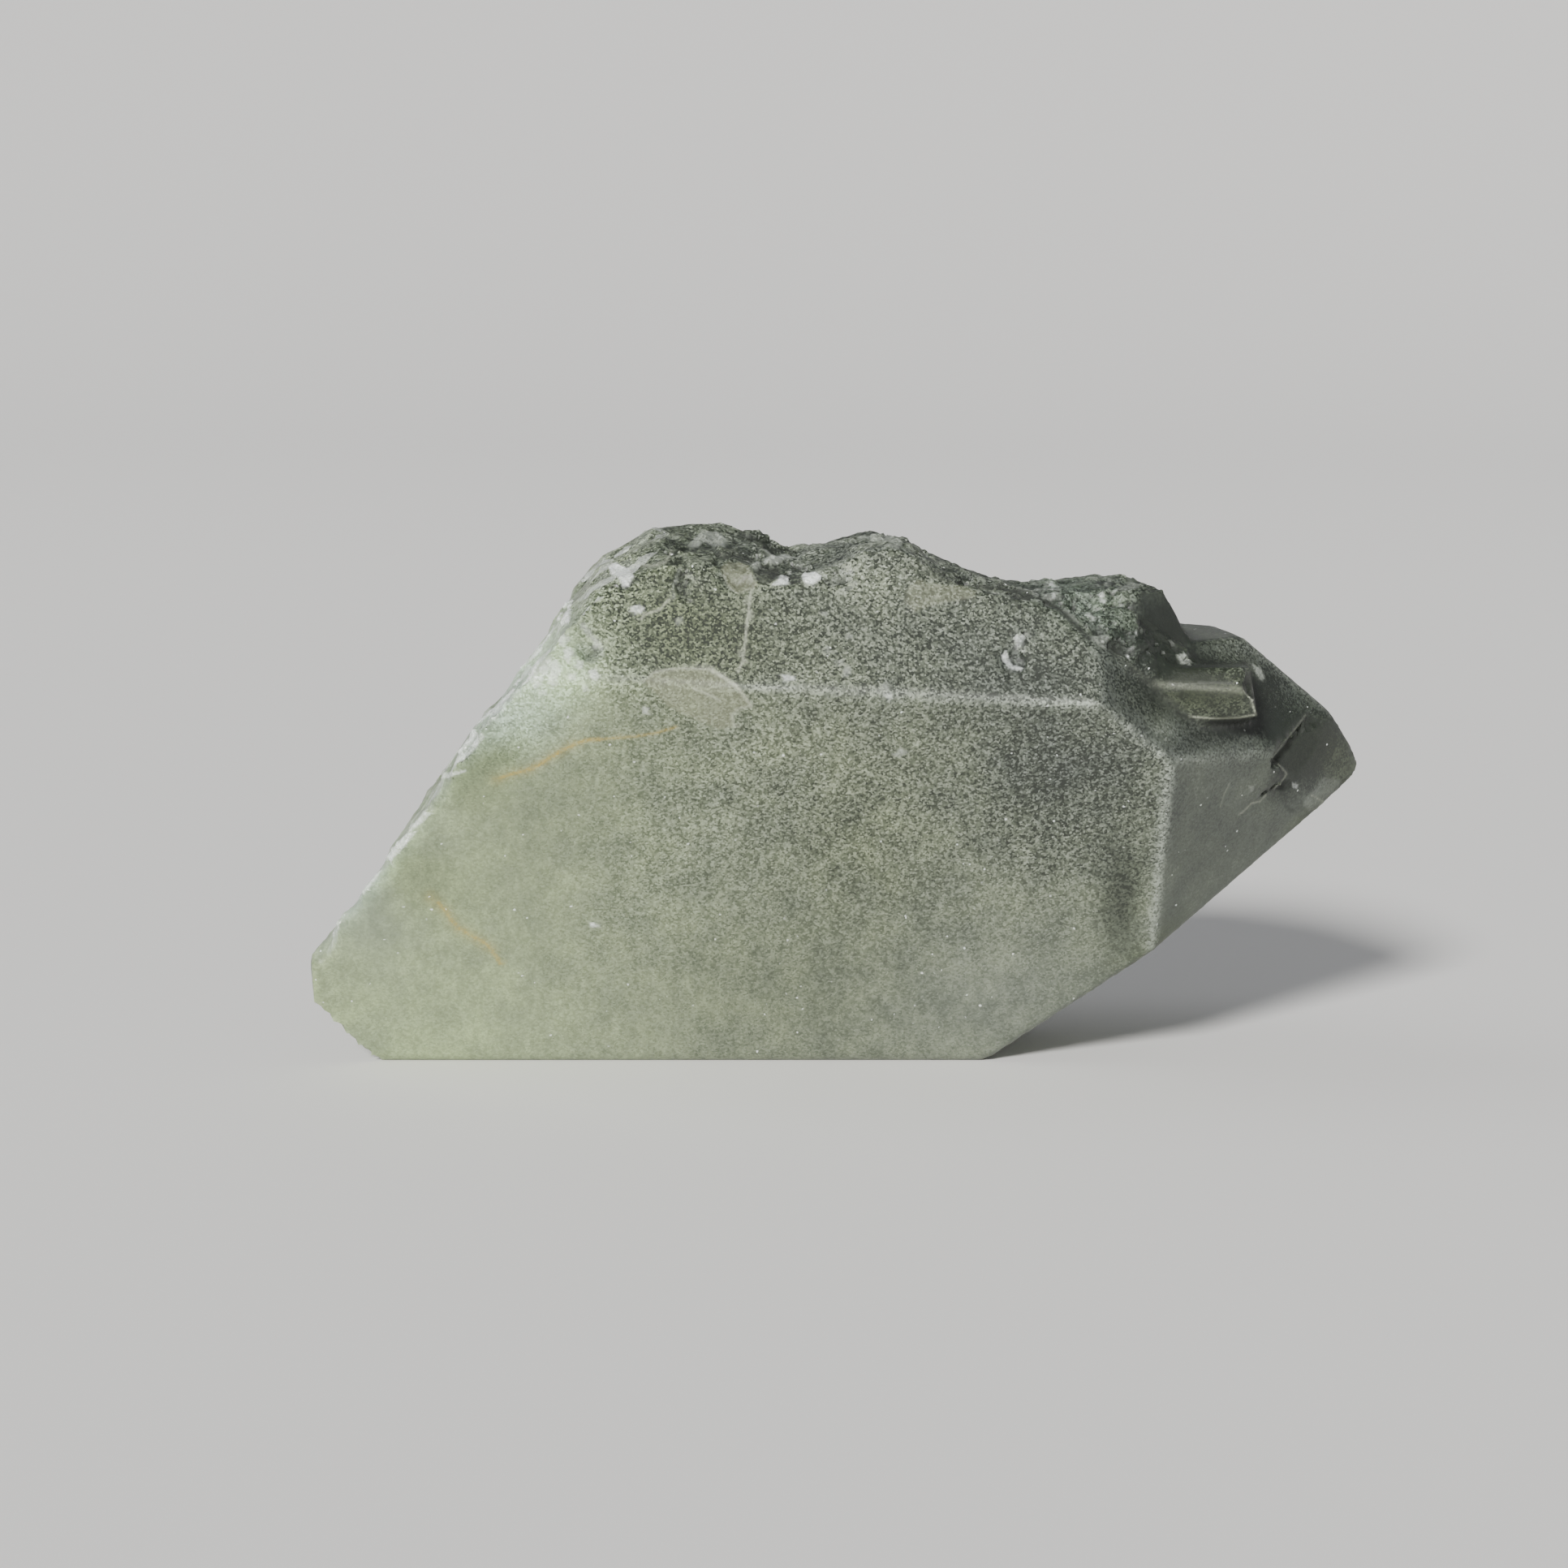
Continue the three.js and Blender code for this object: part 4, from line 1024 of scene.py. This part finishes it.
def noiseTexture(tree, place, wide, detail, roughness):
    return addSocket(tree, "ShaderNodeTexNoise", {
        "Vector": place, "Scale": 1 / wide, "Detail": detail, "Roughness": roughness})


# angular cells, with two values that differ from cell to cell
def cellValues(tree, place, wide):
    cells = addSocket(tree, "ShaderNodeTexVoronoi", {"Vector": place, "Scale": 1 / wide},
                      output="Color")
    split = tree.nodes.new("ShaderNodeSeparateColor")
    tree.links.new(cells, split.inputs[0])
    return split.outputs[0], split.outputs[1]


def toneRamp(tree, tone):
    ramp = tree.nodes.new("ShaderNodeValToRGB")
    tree.links.new(tone, ramp.inputs[0])
    stops = ramp.color_ramp.elements
    while len(stops) < len(stone["ramp"]):
        stops.new(0.5)
    for stop, (at, colour) in zip(stops, stone["ramp"]):
        stop.position = at
        stop.color = (*colour, 1)
    return ramp.outputs[0]


def stoneMaterial():
    material = bpy.data.materials.new("chloriteQuartz")
    material.use_nodes = True
    tree = material.node_tree
    shader = tree.nodes["Principled BSDF"]
    place = addSocket(tree, "ShaderNodeTexCoord", {}, output="Object")
    inMm = addSocket(tree, "ShaderNodeVectorMath", {0: place, 1: (1 / mm, 1 / mm, 1 / mm)},
                     {"operation": "MULTIPLY"})
    fine, other = cellValues(tree, inMm, stone["grainWide"])
    coarse = noiseTexture(tree, inMm, *stone["coarse"])
    cloud = noiseTexture(tree, inMm, *stone["cloud"])
    streakPlace = addSocket(tree, "ShaderNodeMapping", {
        "Vector": inMm, "Scale": tuple(1 / s for s in stone["streakWide"])})
    streak = noiseTexture(tree, streakPlace, *stone["streak"])
    broken = attribute(tree, "broken")

    # the tone of the stone, from its patterns and from what each point carries, painted shade and
    # light among it
    spots = plus(tree, times(tree, spread(tree, fine, *stone["fineSpread"]),
                             stone["fineContrast"]),
                 times(tree, spread(tree, coarse, *stone["coarseSpread"]),
                       stone["coarseContrast"]))
    amount = maths(tree, "MULTIPLY_ADD", attribute(tree, "speckle"),
                   1 - stone["plainContrast"], stone["plainContrast"])
    spots = times(tree, spots, amount)
    drift = spread(tree, cloud, *stone["cloudSpread"])
    veil = times(tree, spread(tree, streak, *stone["streakSpread"]), attribute(tree, "veined"))
    tone = attribute(tree, "tone")
    for share in (spots, times(tree, drift, stone["cloudTone"]), veil,
                  times(tree, attribute(tree, "reliefShade"), stone["reliefShadeTone"]),
                  times(tree, broken, stone["brokenTone"])):
        tone = plus(tree, tone, share)
    colour = toneRamp(tree, tone)

    hue = plus(tree, attribute(tree, "hue"), times(tree, drift, stone["cloudHue"]))
    hue = maths(tree, "MULTIPLY_ADD", spots, stone["hueContrast"], hue)
    tint = blendColour(tree, spread(tree, hue, 0.0, 1.0), stone["coolTint"], stone["oliveTint"])
    colour = blendColour(tree, 1.0, colour, tint, "MULTIPLY")
    colour = blendColour(tree, attribute(tree, "green"), colour, stone["greenTint"], "MULTIPLY")

    # the layers, each in sparse grains, nearly evenly or in mottled grains
    even = spread(tree, coarse, *stone["evenCover"])
    mottle = spread(tree, other, *stone["mottledCover"])
    covers = {"worn": spread(tree, fine, *stone["sparseCover"]), "flake": even, "darkAndShade": even}
    for name, (most, layer) in stone["layers"].items():
        strength = times(tree, times(tree, attribute(tree, name), most),
                         covers.get(name, mottle), clamp=True)
        colour = blendColour(tree, strength, colour, layer)

    # painted glints: a few tiny ones everywhere, and angular white ones on the glassy end
    glint = spread(tree, other, *stone["glintSpread"])
    chip = cellValues(tree, inMm, stone["chipGlintWide"])[0]
    chip = times(tree, spread(tree, chip, *stone["chipGlintSpread"]), broken)
    for share in (glint, times(tree, chip, mottle, clamp=True)):
        colour = blendColour(tree, share, colour, stone["layers"]["glassAndGlint"][1])
    tree.links.new(colour, shader.inputs["Base Color"])

    roughness = spread(tree, fine, *stone["roughnessSpread"])
    for name, share in stone["roughness"].items():
        roughness = plus(tree, roughness, times(tree, attribute(tree, name), share))
    tree.links.new(maths(tree, "ADD", roughness, clamp=True), shader.inputs["Roughness"])
    shader.inputs["IOR"].default_value = stone["ior"]
    shader.inputs["Subsurface Weight"].default_value = stone["glow"]
    shader.inputs["Subsurface Scale"].default_value = mm
    shader.inputs["Subsurface Radius"].default_value = stone["glowReach"]

    grit = tree.nodes.new("ShaderNodeBump")
    grit.inputs["Strength"].default_value = stone["bumpStrength"]
    grit.inputs["Distance"].default_value = stone["bumpHeight"] * mm
    ground = plus(tree, times(tree, fine, stone["fineBump"]), coarse)
    tree.links.new(times(tree, ground, amount), grit.inputs["Height"])
    tree.links.new(grit.outputs[0], shader.inputs["Normal"])
    return material


def addCrystal():
    bm, paint = buildStone()
    mesh = bpy.data.meshes.new("crystal")
    bm.to_mesh(mesh)
    bm.free()
    for name, values in paint.items():
        layer = mesh.attributes.new(name, "FLOAT", "POINT")
        layer.data.foreach_set("value", values.astype(np.float32))
    mesh.polygons.foreach_set("use_smooth", [True] * len(mesh.polygons))
    mesh.set_sharp_from_angle(angle=math.radians(crystal["sharpTurn"]))
    mesh.materials.append(stoneMaterial())
    piece = bpy.data.objects.new("crystal", mesh)
    bpy.context.scene.collection.objects.link(piece)
    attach(piece, "root")
    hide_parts(crystal["node"])
    print("  crystal has", len(mesh.polygons), "triangles")


addCrystal()
print("stage: crystal")
